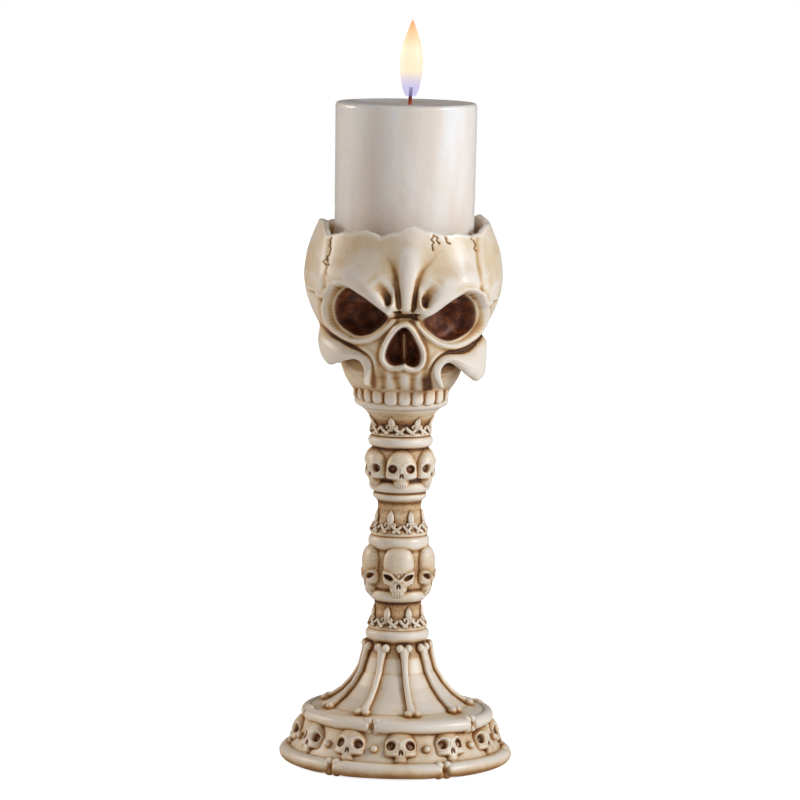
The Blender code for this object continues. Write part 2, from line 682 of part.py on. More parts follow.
def hand_over(item, name, paint):
    """Moves a finished helper into the collection of parts under its own name."""
    mesh = item.data.copy()
    mesh.transform(item.matrix_world)
    made = bpy.data.objects.new(name, mesh)
    mesh.materials.clear()
    mesh.materials.append(paint)
    mesh.polygons.foreach_set("material_index", np.zeros(len(mesh.polygons), dtype=np.int32))
    mesh.polygons.foreach_set("use_smooth", np.ones(len(mesh.polygons), dtype=bool))
    mesh.set_sharp_from_angle(angle=math.radians(SHARP_ANGLE))
    PARTS.objects.link(made)
    bpy.data.objects.remove(item)
    return made


clear_scene()
PARTS = collection("resin_candlestick", False)
CUTTERS = collection("cutters", True)
hand_over(candlestick(), "candlestick", material("resin", (0.66, 0.55, 0.40), 0.45))
hand_over(candle(), "candle", material("wax", (0.88, 0.82, 0.72), 0.35))
hand_over(wick(), "wick", material("char", (0.03, 0.02, 0.02), 0.9))
hand_over(flame(), "flame", material("glow", (1.0, 0.80, 0.45), 0.5))
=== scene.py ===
# %% [markdown]
# # A candlestick of bones
# This lesson builds a cast resin candlestick. A broken skull holds a pillar candle, on a stem of
# small skulls, leaf collars and long bones. Almost every piece is a surface worked out with
# numpy: a grid of points, one formula for where each point goes, and faces between neighbours.
# The pieces are drawn in millimetres, and a mesh is made in metres. The materials, the lamps and
# the camera are in metres too.

from functools import partial

import bpy
import numpy as np
from mathutils import Matrix, Vector


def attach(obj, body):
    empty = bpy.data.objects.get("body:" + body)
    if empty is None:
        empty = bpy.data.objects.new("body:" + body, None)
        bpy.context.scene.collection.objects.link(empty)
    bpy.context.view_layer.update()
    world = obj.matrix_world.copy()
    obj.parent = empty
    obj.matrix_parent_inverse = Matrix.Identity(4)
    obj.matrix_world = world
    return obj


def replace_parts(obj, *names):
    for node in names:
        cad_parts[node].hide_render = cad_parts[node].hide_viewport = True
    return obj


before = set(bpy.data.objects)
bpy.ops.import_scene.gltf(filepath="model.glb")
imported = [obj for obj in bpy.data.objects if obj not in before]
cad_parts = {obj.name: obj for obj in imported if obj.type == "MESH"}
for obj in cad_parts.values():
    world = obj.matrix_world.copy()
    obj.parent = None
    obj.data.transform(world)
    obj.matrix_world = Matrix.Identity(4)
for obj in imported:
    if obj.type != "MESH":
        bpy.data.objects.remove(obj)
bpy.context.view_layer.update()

# %% [markdown]
# ## Helpers for surfaces
# A shell is a grid of points with four-cornered faces, closed at each end by a fan. Several
# shells joined in one mesh make a piece. Angles run round the stem from the front, in degrees.


# %% Curves
def ease(low, high, value):
    """0 below low, 1 above high, and t t (3 - 2 t) between them."""
    share = np.clip((value - low) / (high - low), 0.0, 1.0)
    return share * share * (3.0 - 2.0 * share)


def curve(value, places, heights):
    """A smooth line through stations: cubic pieces whose slopes come from the neighbours."""
    places, heights = np.asarray(places, dtype=float), np.asarray(heights, dtype=float)
    slopes = np.gradient(heights, places)
    value = np.clip(value, places[0], places[-1])
    k = np.clip(np.searchsorted(places, value) - 1, 0, len(places) - 2)
    run = places[k + 1] - places[k]
    t = (value - places[k]) / run
    ends = heights[k] * (1 + 2 * t) * (1 - t) ** 2 + heights[k + 1] * t * t * (3 - 2 * t)
    return ends + run * t * (1 - t) * (slopes[k] * (1 - t) - slopes[k + 1] * t)


def soft(value, places, heights, blur=0.03):
    """Straight lines through stations, averaged over a share of their whole length."""
    fine = np.linspace(places[0], places[-1], 1001)
    line = np.interp(fine, places, heights)
    reach = int(1000 * blur)
    for _ in range(2):
        padded = np.pad(line, reach, mode="reflect", reflect_type="odd")
        line = np.convolve(padded, np.full(2 * reach + 1, 1 / (2 * reach + 1)), "valid")
    return np.interp(value, fine, line)


# %% Grids that close into shells
def polar(angle, radius, height):
    """The points (r sin a, -r cos a, z) at angles from the front."""
    turn = np.radians(angle)
    parts = np.broadcast_arrays(radius * np.sin(turn), -radius * np.cos(turn), height)
    return np.stack(parts, axis=-1)


def shell(grid):
    """A closed shell of rings: quads between rings, and a fan to the middle of each end ring."""
    rows, columns = grid.shape[:2]
    row, col = (part.ravel() for part in np.indices((rows - 1, columns)))
    low = row * columns
    after = (col + 1) % columns
    quads = np.stack([low + col, low + after, low + columns + after, low + columns + col], -1)
    here = np.arange(columns)
    beside = np.roll(here, -1)
    middle = np.full(columns, rows * columns)
    top = (rows - 1) * columns
    fans = np.concatenate([np.stack([beside, here, middle], -1),
                           np.stack([top + here, top + beside, middle + 1], -1)])
    points = np.concatenate([grid.reshape(-1, 3), [grid[0].mean(0), grid[-1].mean(0)]])
    return points, quads, fans


# %% Rods and balls
def tube(path, wide, deep, outward, sides=16):
    """A rod along a path: rings centre + across wide cos f - outward deep sin f."""
    path = np.asarray(path, dtype=float)
    run = np.gradient(path, axis=0)
    run /= np.linalg.norm(run, axis=1, keepdims=True)
    out = np.broadcast_to(outward, path.shape).astype(float)
    out = out - run * (out * run).sum(1, keepdims=True)
    out /= np.linalg.norm(out, axis=1, keepdims=True)
    across = np.cross(run, out)
    turn = np.linspace(0, 2 * np.pi, sides, endpoint=False)
    wide = np.broadcast_to(wide, len(path))[:, None, None]
    deep = np.broadcast_to(deep, len(path))[:, None, None]
    ring = across[:, None] * np.cos(turn)[None, :, None] * wide
    ring = ring - out[:, None] * np.sin(turn)[None, :, None] * deep
    return shell(path[:, None] + ring)


def ball(place, sizes, axes=None, rows=14, sides=20):
    """A ball with its own half size along each of three axes, by latitude and longitude."""
    axes = np.eye(3) if axes is None else np.asarray(axes, dtype=float)
    up = np.radians(np.linspace(-86, 86, rows))[:, None]
    turn = np.linspace(0, 2 * np.pi, sides, endpoint=False)[None, :]
    parts = np.broadcast_arrays(np.cos(up) * np.cos(turn), np.cos(up) * np.sin(turn), np.sin(up))
    unit = np.stack(parts, -1) * np.asarray(sizes, dtype=float)
    if np.linalg.det(axes) < 0:
        axes = axes * [[-1], [1], [1]]
    return shell(np.asarray(place, dtype=float) + unit @ axes)


# %% Places on the wall
def directions(angle, lean=0.0):
    """Across, up and outward on the wall at an angle. Lean tips the top back, in degrees."""
    turn, tip = np.radians([angle, lean])
    across = np.array([np.cos(turn), np.sin(turn), 0.0])
    out = np.array([np.sin(turn), -np.cos(turn), 0.0])
    up = np.array([0.0, 0.0, 1.0])
    return np.array([across, up * np.cos(tip) - out * np.sin(tip),
                     out * np.cos(tip) + up * np.sin(tip)])


def on_wall(shape, angle, radius, height, lean=0.0):
    """A shell drawn as (across, up, outward), set on the wall at an angle, radius and height."""
    points, quads, fans = shape
    return points @ directions(angle, lean) + polar(angle, radius, height), quads, fans


def join(shells):
    """Several shells as one, with the later ones' corner numbers moved up."""
    start = np.cumsum([0] + [len(one[0]) for one in shells])
    return (np.concatenate([one[0] for one in shells]),
            np.concatenate([one[1] + s for one, s in zip(shells, start)]),
            np.concatenate([one[2] + s for one, s in zip(shells, start)]))


# %% [markdown]
# ## Where the brown wash gathers
# Cast resin like this is sold with a brown wash: it is brushed on and wiped off, and it stays in
# the hollows. Each piece gets a point attribute called hollow. It compares every point with the
# average of the points round it, so a groove comes out dark and an edge comes out pale.


# %% Pieces and the hollow attribute
def spread(values, edges, passes):
    """Values averaged with their neighbours along the mesh's edges, a number of times."""
    count = len(values)
    degree = np.bincount(edges.ravel(), minlength=count)[:, None]
    for _ in range(passes):
        total = values.copy()
        for k in range(values.shape[1]):
            total[:, k] += np.bincount(edges[:, 0], values[edges[:, 1], k], count)
            total[:, k] += np.bincount(edges[:, 1], values[edges[:, 0], k], count)
        values = total / (degree + 1)
    return values


def hollowness(mesh, passes):
    """How far each point lies below the average of its surroundings, in mm."""
    count = len(mesh.vertices)
    points = np.empty(count * 3)
    mesh.vertices.foreach_get("co", points)
    points = points.reshape(-1, 3) * 1000
    edges = np.empty(len(mesh.edges) * 2, dtype=np.int32)
    mesh.edges.foreach_get("vertices", edges)
    normals = np.empty(count * 3, dtype=np.float32)
    mesh.vertex_normals.foreach_get("vector", normals)
    smooth = spread(points, edges.reshape(-1, 2), passes)
    return ((smooth - points) * normals.reshape(-1, 3)).sum(1)


def mark(mesh, name, values):
    """Stores one number for each point, for the material to read."""
    attribute = mesh.attributes.new(name, "FLOAT", "POINT")
    attribute.data.foreach_set("value", np.asarray(values, dtype=np.float32))


def piece(name, shells, finish, slot, passes=10, **marks):
    """One object from shells in mm: mesh, smooth shading, material and body; slot is not used."""
    points, quads, fans = join(shells)
    mesh = bpy.data.meshes.new(name)
    mesh.from_pydata(points / 1000, [], quads.tolist() + fans.tolist())
    mesh.shade_smooth()
    mark(mesh, "hollow", hollowness(mesh, passes))
    for key, values in marks.items():
        mark(mesh, key, np.broadcast_to(values, len(points)))
    mesh.materials.append(finish)
    item = bpy.data.objects.new(name, mesh)
    bpy.context.scene.collection.objects.link(item)
    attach(item, "root")
    print(name, "-", 2 * len(quads) + len(fans), "triangles")
    return item


# %% [markdown]
# ## The resin
# One node group makes the aged look and every resin piece shares it. It mixes the hollow
# attribute with painted shade from what the surroundings hide (ambient occlusion), which also
# stands for the wash in the joins, and with noise, and turns the sum into a colour between pale
# bone and dark brown. A piece can carry further marks: stain darkens the sockets, stipple pits
# the ground, crack draws dark lines, and clean keeps most of that painted shade and joint wash
# out of the cup.


# %% Colour helpers
def srgb(red, green, blue):
    """A colour picked on screen, 0 to 255, as the linear values that shaders use."""
    share = np.array([red, green, blue]) / 255
    low = share <= 0.04045
    linear = np.where(low, share / 12.92, ((share + 0.055) / 1.055) ** 2.4)
    return (*linear, 1.0)


def set_inputs(made, values):
    """Gives the input sockets of a node their values."""
    for key, value in values.items():
        made.inputs[key].default_value = value


def node(tree, kind, values=None, **settings):
    """Adds a node, with its settings and the values of its input sockets."""
    made = tree.nodes.new(kind)
    for key, value in settings.items():
        setattr(made, key, value)
    set_inputs(made, values or {})
    return made


def wire(tree, *pairs):
    """Links each output to the input beside it."""
    for start, end in pairs:
        tree.links.new(start, end)


def texture(tree, kind, **values):
    """A texture or mapping node that is fed the object's own coordinates, in metres."""
    made = node(tree, kind, values)
    wire(tree, (node(tree, "ShaderNodeTexCoord").outputs["Object"], made.inputs["Vector"]))
    return made


def material(name):
    """A new material with its node tree and its main shader."""
    made = bpy.data.materials.new(name)
    made.use_nodes = True
    return made, made.node_tree, made.node_tree.nodes["Principled BSDF"]


def sums(tree, operation, first, second, clamp=False):
    """A Math node between two sockets or numbers."""
    made = node(tree, "ShaderNodeMath", operation=operation, use_clamp=clamp)
    for number, value in enumerate((first, second)):
        if hasattr(value, "is_output"):
            tree.links.new(value, made.inputs[number])
        else:
            made.inputs[number].default_value = value
    return made.outputs[0]


def ramp(tree, value, stops):
    """A colour ramp read at a value."""
    made = node(tree, "ShaderNodeValToRGB")
    while len(made.color_ramp.elements) < len(stops):
        made.color_ramp.elements.new(0.5)
    for element, (place, colour) in zip(made.color_ramp.elements, stops):
        element.position = place
        element.color = colour
    tree.links.new(value, made.inputs[0])
    return made.outputs[0]


# %% The node group for aged resin, with painted shade
BONE_STOPS = ((0.0, srgb(243, 233, 220)), (0.2, srgb(229, 207, 174)), (0.42, srgb(204, 168, 120)),
              (0.62, srgb(172, 122, 68)), (0.82, srgb(124, 76, 34)), (1.0, srgb(66, 34, 12)))
STAIN_STOPS = ((0.3, srgb(52, 20, 6)), (0.48, srgb(92, 42, 14)), (0.6, srgb(128, 68, 28)),
               (0.8, srgb(170, 106, 58)))


def aged_resin():
    """The node group: hollows, painted shade, noise and stain make colour, roughness and bumps."""
    group = bpy.data.node_groups.new("aged resin", "ShaderNodeTree")
    sockets = group.interface
    for name, value in (("Wash", 1.0), ("Painted Shade And Wash", 1.0), ("Tone", 0.06)):
        socket = sockets.new_socket(name=name, in_out="INPUT", socket_type="NodeSocketFloat")
        socket.default_value = value
    for name, kind in (("Color", "Color"), ("Roughness", "Float"), ("Height", "Float")):
        sockets.new_socket(name=name, in_out="OUTPUT", socket_type="NodeSocket" + kind)
    inside = node(group, "NodeGroupInput")
    result = node(group, "NodeGroupOutput")
    times, plus, less, most = (partial(sums, group, kind)
                               for kind in ("MULTIPLY", "ADD", "SUBTRACT", "MINIMUM"))
    broad = texture(group, "ShaderNodeTexNoise", Scale=55.0, Detail=5.0, Roughness=0.6)
    fine = texture(group, "ShaderNodeTexNoise", Scale=900.0, Detail=3.0, Roughness=0.6)
    dots = texture(group, "ShaderNodeTexVoronoi", Scale=1150.0, Randomness=1.0)
    blotch = texture(group, "ShaderNodeTexNoise", Scale=190.0, Detail=6.0, Roughness=0.65)
    hollow, stain, stipple, crack, clean = (
        node(group, "ShaderNodeAttribute", attribute_name=name).outputs["Fac"]
        for name in ("hollow", "stain", "stipple", "crack", "clean"))
    # Ambient occlusion at a short and a long reach, the source of the painted shade
    near = node(group, "ShaderNodeAmbientOcclusion", {"Distance": 0.0028}, samples=8)
    far = node(group, "ShaderNodeAmbientOcclusion", {"Distance": 0.011}, samples=8)
    # Wash that the shape holds, between a rubbed edge at -0.2 and a full groove at 0.42
    wash = times(times(hollow, inside.outputs["Wash"]), 1.6)
    wash = sums(group, "MAXIMUM", most(wash, 0.42), -0.2)
    # Painted shade from occlusion where pieces meet and in deep recesses, standing also for
    # the wash in the joins; little of it inside the cup, where the mark clean cuts it
    painted_shade_and_wash = plus(times(less(1.0, near.outputs["AO"]), 0.36), less(1.0, far.outputs["AO"]))
    painted_shade_and_wash = most(times(painted_shade_and_wash, inside.outputs["Painted Shade And Wash"]), 0.64)
    wash = plus(plus(wash, times(painted_shade_and_wash, less(1.0, clean))), times(crack, 0.6))
    # Broad patches, fine grain and the pits of the stippled ground
    patch = times(less(broad.outputs["Fac"], 0.47), 0.62)
    grain = times(less(fine.outputs["Fac"], 0.5), 0.16)
    pits = times(less(0.42, dots.outputs["Distance"], clamp=True), stipple)
    wash = plus(plus(wash, plus(patch, grain)), times(pits, 1.3))
    wash = plus(plus(wash, times(stipple, 0.24)), inside.outputs["Tone"], clamp=True)
    # The ramp reads the real wash together with the painted shade from occlusion
    mixed = node(group, "ShaderNodeMix", data_type="RGBA")
    wire(group, (stain, mixed.inputs["Factor"]),
         (ramp(group, wash, BONE_STOPS), mixed.inputs["A"]),
         (ramp(group, blotch.outputs["Fac"], STAIN_STOPS), mixed.inputs["B"]),
         (mixed.outputs["Result"], result.inputs["Color"]),
         (plus(times(wash, 0.3), 0.36), result.inputs["Roughness"]),
         (plus(times(fine.outputs["Fac"], 0.10), times(pits, -1.4)), result.inputs["Height"]))
    return group


# %% The resin materials
def resin(name, wash, painted_shade_and_wash, tone):
    """A resin material: the aged group feeds colour with painted shade, roughness and a fine bump."""
    made, tree, shader = material(name)
    aged = node(tree, "ShaderNodeGroup")
    aged.node_tree = AGED
    set_inputs(aged, {"Wash": wash, "Painted Shade And Wash": painted_shade_and_wash, "Tone": tone})
    bump = node(tree, "ShaderNodeBump", {"Strength": 0.35, "Distance": 0.0005})
    wire(tree, (aged.outputs["Color"], shader.inputs["Base Color"]),
         (aged.outputs["Roughness"], shader.inputs["Roughness"]),
         (aged.outputs["Height"], bump.inputs["Height"]),
         (bump.outputs["Normal"], shader.inputs["Normal"]))
    set_inputs(shader, {"Subsurface Weight": 0.08, "Subsurface Scale": 1.0,
                        "Subsurface Radius": (0.004, 0.0025, 0.0012)})
    return made


AGED = aged_resin()
# The numbers are each resin's wash, its painted shade from occlusion with the joint wash, and its tone
FACE_RESIN = resin("face resin", 1.25, 1.2, 0.14)
RELIEF_RESIN = resin("relief resin", 1.5, 1.1, 0.14)
TOOTH_RESIN = resin("tooth resin", 1.7, 2.0, 0.12)
CORE_RESIN = resin("core resin", 1.2, 1.0, 0.16)

# %% [markdown]
# ## The big skull
# The skull is one sheet that runs up its carved outside, over the broken rim and down inside the
# cup. The outside is a wall whose radius depends on the angle and the height. Lines and closed
# outlines in millimetres, across and up, raise and sink it: brows, a ridge down the forehead,
# sockets, nose, cheekbones and jaw.

# %% The plain wall and the broken rim
SKULL_WALL = np.array([
    (196.5, 22.5, 21.5, 22), (200, 24.8, 24.2, 24), (204, 27.2, 27, 26.5), (209, 32.6, 30.5, 31),
    (215, 38, 32.5, 35.5), (222, 41, 35, 40.5), (230, 43.6, 40, 45), (238, 45.4, 45, 49),
    (246, 46.4, 49.2, 52), (255, 49.6, 52.4, 54), (265, 51.6, 53.7, 55), (277, 50.8, 52.2, 53.6),
    (286, 49.6, 49.2, 51.2), (296, 47.6, 44.8, 47.6)])
RIM_LINE = np.array([
    (-180, 292), (-150, 293.5), (-120, 291.5), (-95, 293.6), (-80, 294.6), (-68, 293.6),
    (-58, 287.6), (-48, 289.2), (-28, 291.2), (-20, 291), (-15, 288.6), (-8, 290.6), (5, 295),
    (14, 292.4), (24, 290.6), (40, 290.6), (50, 288.6), (58, 290), (72, 293.2), (90, 293.4),
    (112, 296.4), (135, 293.6), (158, 292.4), (180, 292)])
RIM_THICK, RIM_ROUND = 3.4, 1.5
FOOT_Z, FLOOR_Z, SEAT = 196.5, 256.0, 39.0
MOUTH, MOUTH_Z = 43.2, FLOOR_Z + 19


def skull_wall(angle, height):
    """side + (end - side) cos squared, where end is the front's or the back's radius."""
    heights = SKULL_WALL[:, 0]
    smooth = [soft(height, heights, SKULL_WALL[:, k], 0.025) for k in (1, 2, 3)]
    ahead = np.cos(np.radians(angle))
    end = np.where(ahead > 0, smooth[0], smooth[2])
    return smooth[1] + (end - smooth[1]) * ahead ** 2


# %% Distances to lines and outlines
def line_distance(x, z, stations):
    """Distance to a line of (x, z, a, b, ...) stations, and the line's other values there."""
    stations = np.asarray(stations, dtype=float)
    best = np.full(np.shape(x), 1e9)
    extra = np.zeros((stations.shape[1] - 2,) + np.shape(x))
    for start, end in zip(stations, stations[1:]):
        run = end[:2] - start[:2]
        share = ((x - start[0]) * run[0] + (z - start[1]) * run[1]) / (run @ run)
        share = np.clip(share, 0, 1)
        away = np.hypot(x - start[0] - share * run[0], z - start[1] - share * run[1])
        closer = away < best
        best = np.where(closer, away, best)
        for k in range(len(extra)):
            value = start[k + 2] + share * (end[k + 2] - start[k + 2])
            extra[k] = np.where(closer, value, extra[k])
    return (best, *extra)


def outline_distance(x, z, corners):
    """Distance to a closed outline, below zero inside it.

    A point is inside where a level line from it crosses the outline an odd number of times.
    """
    closed = np.concatenate([corners, corners[:1]]).astype(float)
    best, = line_distance(x, z, closed)
    inside = np.zeros(np.shape(x), dtype=bool)
    for start, end in zip(closed, closed[1:]):
        run = end - start
        if run[1] != 0:
            crosses = (start[1] > z) != (end[1] > z)
            inside ^= crosses & (x < start[0] + (z - start[1]) * run[0] / run[1])
    return np.where(inside, -best, best)


def rounded(corners, passes=2):
    """An outline with its corners cut, each side keeping its middle half."""
    corners = np.asarray(corners, dtype=float)
    for _ in range(passes):
        after = np.roll(corners, -1, axis=0)
        corners = np.stack([0.75 * corners + 0.25 * after, 0.25 * corners + 0.75 * after], 1)
        corners = corners.reshape(-1, 2)
    return corners


# %% Lines and outlines of the face
# A line's rows are across, up, width and height, and an outline's are across and up, all in mm.
# Each pair has the side with negative numbers first. The rows of HANGS are across and fall.
DRIP = ((3.5, 295, 10.5, 1.2), (3.7, 285, 9, 1.7), (2.9, 276, 6.8, 2.6), (2.0, 267, 4.7, 3.6),
        (1.7, 259, 3.7, 4.4), (1.6, 252, 3.4, 4.7))
BROWS = (((-43.6, 257, 3.0, 1.6), (-41.2, 262.4, 4.0, 2.8), (-36.5, 266.4, 4.8, 3.8),
          (-28.5, 266.2, 5.2, 4.6), (-18, 259.2, 5.4, 5.4), (-8.8, 249.8, 4.6, 6.2)),
         ((44.6, 253.4, 3.0, 1.6), (42.4, 259, 4.0, 2.8), (38.4, 263, 4.8, 3.8),
          (30.5, 263.2, 5.2, 4.6), (21, 257.2, 5.4, 5.4), (12.4, 248.4, 4.6, 6.2)))
BRIDGE = ((0.8, 247, 4.5, 0.8), (0.6, 241, 6, 2.4))
POCKETS = (((-15, 265, 3.4, 0.5), (-10.4, 260.4, 3.0, 1.8), (-8.2, 256.6, 2.5, 3.0),
            (-7.4, 254.6, 2.0, 3.0)),
           ((17.6, 264, 3.4, 0.5), (13.6, 259.4, 3.0, 1.8), (11.6, 255.8, 2.5, 3.0),
            (10.8, 253.8, 2.0, 3.0)))
LOOPS = (((-5.0, 262, 0.9, 0.2), (-5.0, 256.4, 1.0, 1.2), (-5.6, 252.4, 1.3, 1.6)),
         ((8.4, 262, 0.9, 0.2), (8.3, 256, 1.0, 1.2), (8.9, 251.8, 1.3, 1.6)))
CREASES = (((-5.6, 266, 1.6, 0.1), (-3.2, 257, 0.8, 0.5), (-2.5, 252, 0.7, 1.0),
            (-1.8, 249.0, 0.7, 1.3)),
           ((7.6, 262, 1.6, 0.1), (6.2, 256, 0.8, 0.5), (5.8, 252, 0.7, 1.0),
            (4.9, 249.0, 0.7, 1.3)),
           ((-10, 245.8, 0.7, 0.2), (-5.4, 245.6, 0.7, 0.7), (-1, 246.8, 0.8, 1.0),
            (4, 246.8, 0.8, 1.0), (8.4, 244.8, 0.7, 0.7), (12.6, 244.4, 0.7, 0.2)),
           ((-47, 229.4, 1.8, 0.9), (-38, 228.8, 1.8, 0.9), (-31, 229.0, 1.6, 0.3)),
           ((47, 225.6, 1.6, 1.2), (40, 226.4, 1.6, 1.2), (31, 227.4, 1.6, 0.4)))
SOCKETS = (((-27.7, 260.6), (-33.1, 258.8), (-36.7, 253.6), (-37.6, 246.8), (-35.8, 241),
            (-30.6, 237.6), (-25.7, 235.2), (-19.3, 236.5), (-14.1, 240), (-9.9, 243.9),
            (-7.8, 246.9), (-11, 249.4), (-15.9, 253.4), (-21.8, 257.2)),
           ((30.4, 257.8), (36.0, 255.8), (39.6, 250.9), (40.6, 244.3), (39.0, 238.7),
            (33.3, 235), (26.9, 233.1), (21.5, 234.9), (16.7, 238.3), (12.9, 242.1),
            (10.7, 245.5), (14.9, 247.4), (20.2, 251.1), (24.9, 254.2)))
NOSE = ((0.8, 240.6), (3.4, 238.6), (6.8, 232.8), (9.6, 227), (9.4, 222), (7.2, 219.7),
        (4, 220.3), (1.9, 221.9), (0.3, 221.5), (-2.6, 220.6), (-5.8, 220.5), (-8.4, 222.5),
        (-9, 225.9), (-6.9, 231.8), (-2.6, 238.2))
NOSE_MIDDLE, NOSE_NARROWING = 0.9, 1.08
SEPTUM = ((0.9, 236.5), (1.3, 223))
OUTLINE_GROWTH = 0.9
CHEEK_TOP_LEFT = ((-45.6, 243), (-43.6, 240.6), (-41.3, 237), (-36.2, 232.7), (-29.6, 229.4),
                  (-23, 227), (-18, 224.5), (-16.4, 220.2), (-16.7, 212.3), (-18.2, 207.5))
CHEEK_LOW_LEFT = ((-18.9, 207.5), (-19.7, 211.2), (-20.6, 216.4), (-23.1, 220.5), (-27, 222.6),
                  (-31.9, 223.6), (-36.5, 223.6), (-41, 223.6), (-44.2, 224.6), (-46, 227),
                  (-46.8, 231))
CHEEK_TOP_RIGHT = ((46.4, 239), (45.2, 234), (43, 229.8), (36.5, 227.8), (25.8, 226.5),
                   (20.1, 224.2), (16.6, 219.1), (15.9, 213), (18, 206.5))
CHEEK_LOW_RIGHT = ((21.3, 206.5), (20.8, 215.3), (22.7, 219.3), (26.7, 221.6), (31.7, 221.6),
                   (36.6, 220.6), (41.4, 219.6), (44.4, 220), (46, 222), (46.8, 226))
HANGS = (((-47, 0), (-46, 5), (-44.2, 7.6), (-41, 8.9), (-36.5, 7.0), (-31.9, 3.8), (-27, 0.8),
          (-24, 0)),
         ((24, 0), (26.7, 0.6), (31.7, 4), (36.6, 7.6), (41.4, 10.8), (44.4, 9.6), (46, 7),
          (46.8, 3), (47.5, 0)))
CHEEKS = (CHEEK_TOP_LEFT + CHEEK_LOW_LEFT, CHEEK_TOP_RIGHT + CHEEK_LOW_RIGHT)
LOBE_RADIUS = 45.0
JAW = ((190, 20), (199, 25.5), (205, 30), (214, 34.4), (222, 35.6), (232, 38))
LEAST_RADIUS = ((190, 20), (205, 27), (248, 30), (253, 42.5), (275, 46))
RECESSES = (CHEEK_LOW_LEFT + ((-60, 230), (-60, 190), (-17, 190), (-17, 204)),
            CHEEK_LOW_RIGHT + ((60, 224), (60, 190), (19, 190), (19, 204)))
ROOTS = (((-10.8, 218, 1.9, 0.3), (-10.4, 212.5, 1.8, 1.3), (-10, 207, 1.3, 1.0)),
         ((-4.4, 218, 1.9, 0.3), (-3.2, 212.5, 1.9, 1.5), (-1.8, 207, 1.3, 1.0)),
         ((6.2, 217, 1.8, 0.3), (5.9, 212, 1.7, 1.4), (5.8, 206.5, 1.3, 1.0)),
         ((12.8, 216.5, 1.7, 0.3), (12.7, 211.5, 1.6, 1.2), (12.7, 206, 1.2, 1.0)))
CRACKS = (((-38.8, 290), (-39.6, 283), (-38.7, 279.6), (-40.2, 275.6), (-38, 272.4),
           (-39.4, 270), (-38.4, 267.6)),
          ((-40.2, 275.6), (-41.6, 273.6), (-40, 272.2), (-38, 272.4)),
          ((15.4, 292.6), (15.6, 290), (14.4, 287.8), (15.4, 285.6), (14.6, 283.6), (15.6, 282)),
          ((15.6, 290), (17.6, 288.2), (17.2, 286.6), (18.8, 285.4)),
          ((19.4, 292), (20.5, 289.4), (22.6, 287.8), (22.2, 286.2), (24.4, 285.2)),
          ((35.5, 291), (36, 287), (38.2, 284.6), (37.4, 282.6), (38.2, 281)))


# %% Ridges and grooves
def ridge(x, z, stations, power=2.0, widen=1.0):
    """Height times exp(-(distance / width) ** power) off a line of (x, z, width, height)."""
    away, wide, tall = line_distance(x, z, stations)
    return tall * np.exp(-(away / (widen * wide)) ** power)


def above_line(x, z, stations):
    """How far a point lies above a line, negative below it."""
    line = np.array(sorted(stations))
    return z - np.interp(x, line[:, 0], line[:, 1])


def brow_relief(x, z):
    """Rise of the ridge down the forehead, the brows, and what lies between them.

    A brow is the wider ridge above its line and the narrower, squarer one below it.
    """
    rise = ridge(x, z, DRIP, 2.0 + 1.6 * ease(278, 262, z))
    for brow in BROWS:
        gentle, steep = ridge(x, z, brow, 2, 2.0), ridge(x, z, brow, 4, 1.05)
        rise = np.maximum(rise, np.where(above_line(x, z, brow) > 0, gentle, steep))
    for pocket in POCKETS:
        rise = rise - ridge(x, z, pocket, 2.4)
    for loop in LOOPS:
        rise = rise + ridge(x, z, loop)
    for crease in CREASES:
        rise = rise - ridge(x, z, crease)
    return rise + ridge(x, z, BRIDGE)


# %% [markdown]
# A socket has three steps, all worked out from the distance to its outline: a raised rim, a lip
# that slopes inward, and a pit. The brow covers its top, so rim and lip fade out near the brow.


# %% Sockets, nose and roots
def socket_relief(x, z, angle):
    """Rise of rim, lip and pit round both sockets, with the stain in them and the lip's tint."""
    rise, stain, tint = (np.zeros(np.shape(x)) for _ in range(3))
    for outline, brow in zip(SOCKETS, BROWS):
        edge = outline_distance(x, z, rounded(outline)) - OUTLINE_GROWTH
        over = above_line(x, z, brow)
        below = np.maximum(1.0 - ease(-7.0, -1.0, over),
                           ease(26, 33, np.abs(x)) * (1.0 - ease(-5.0, 0.0, over)))
        lip = 2.8 + 0.8 * ease(22, 35, np.abs(x))
        aside = ease(50, 60, np.abs(angle)) * ease(248, 256, z)
        rim = (1.2 - 1.1 * aside) * np.exp(-((edge - lip - 0.2) / 1.5) ** 2)
        rise = rise + (rim - 2.8 * (1.0 - ease(0.0, lip, edge))) * below
        rise = rise - 8.0 * (1.0 - ease(-1.3, 0.1, edge)) - 7.5 * (1.0 - ease(-9.0, -1.0, edge))
        tint = np.maximum(tint, 0.5 * (1.0 - ease(-0.5, lip + 0.6, edge)) * below)
        stain = np.maximum(stain, 1.0 - ease(-0.1, 0.55, edge))
    return rise, stain, tint


def muzzle_relief(x, z):
    """Rise of the nose's rim, less its pit and the grooves between the roots, stain and tint."""
    narrowed = NOSE_MIDDLE + (x - NOSE_MIDDLE) * NOSE_NARROWING
    edge = outline_distance(narrowed, z, rounded(NOSE, 1)) - OUTLINE_GROWTH
    away, = line_distance(x, z, SEPTUM)
    septum = np.exp(-(away / 2.0) ** 2)
    rise = 2.4 * np.exp(-((edge - 1.6) / 1.6) ** 2) * (edge > -3)
    rise = rise - (9.5 - 6.5 * septum) * (1.0 - ease(-1.5, 0.1, edge))
    stain = (1.0 - ease(-0.3, 0.4, edge)) * (1.0 - 0.25 * septum)
    tint = np.zeros(np.shape(x))
    for root in ROOTS:
        rise = rise - ridge(x, z, root, 2, 1.5)
        tint = np.maximum(tint, 0.25 * ridge(x, z, root, 2, 1.6))
    return rise, stain, tint


# %% [markdown]
# A cheekbone leaves the muzzle as a ribbon and ends in a round lobe that hangs clear of the jaw.
# The sheet has one radius for each angle and height, so it can't overhang by itself. Its points
# are let down afterwards, those that stand furthest out by most, and the lobe then overhangs.


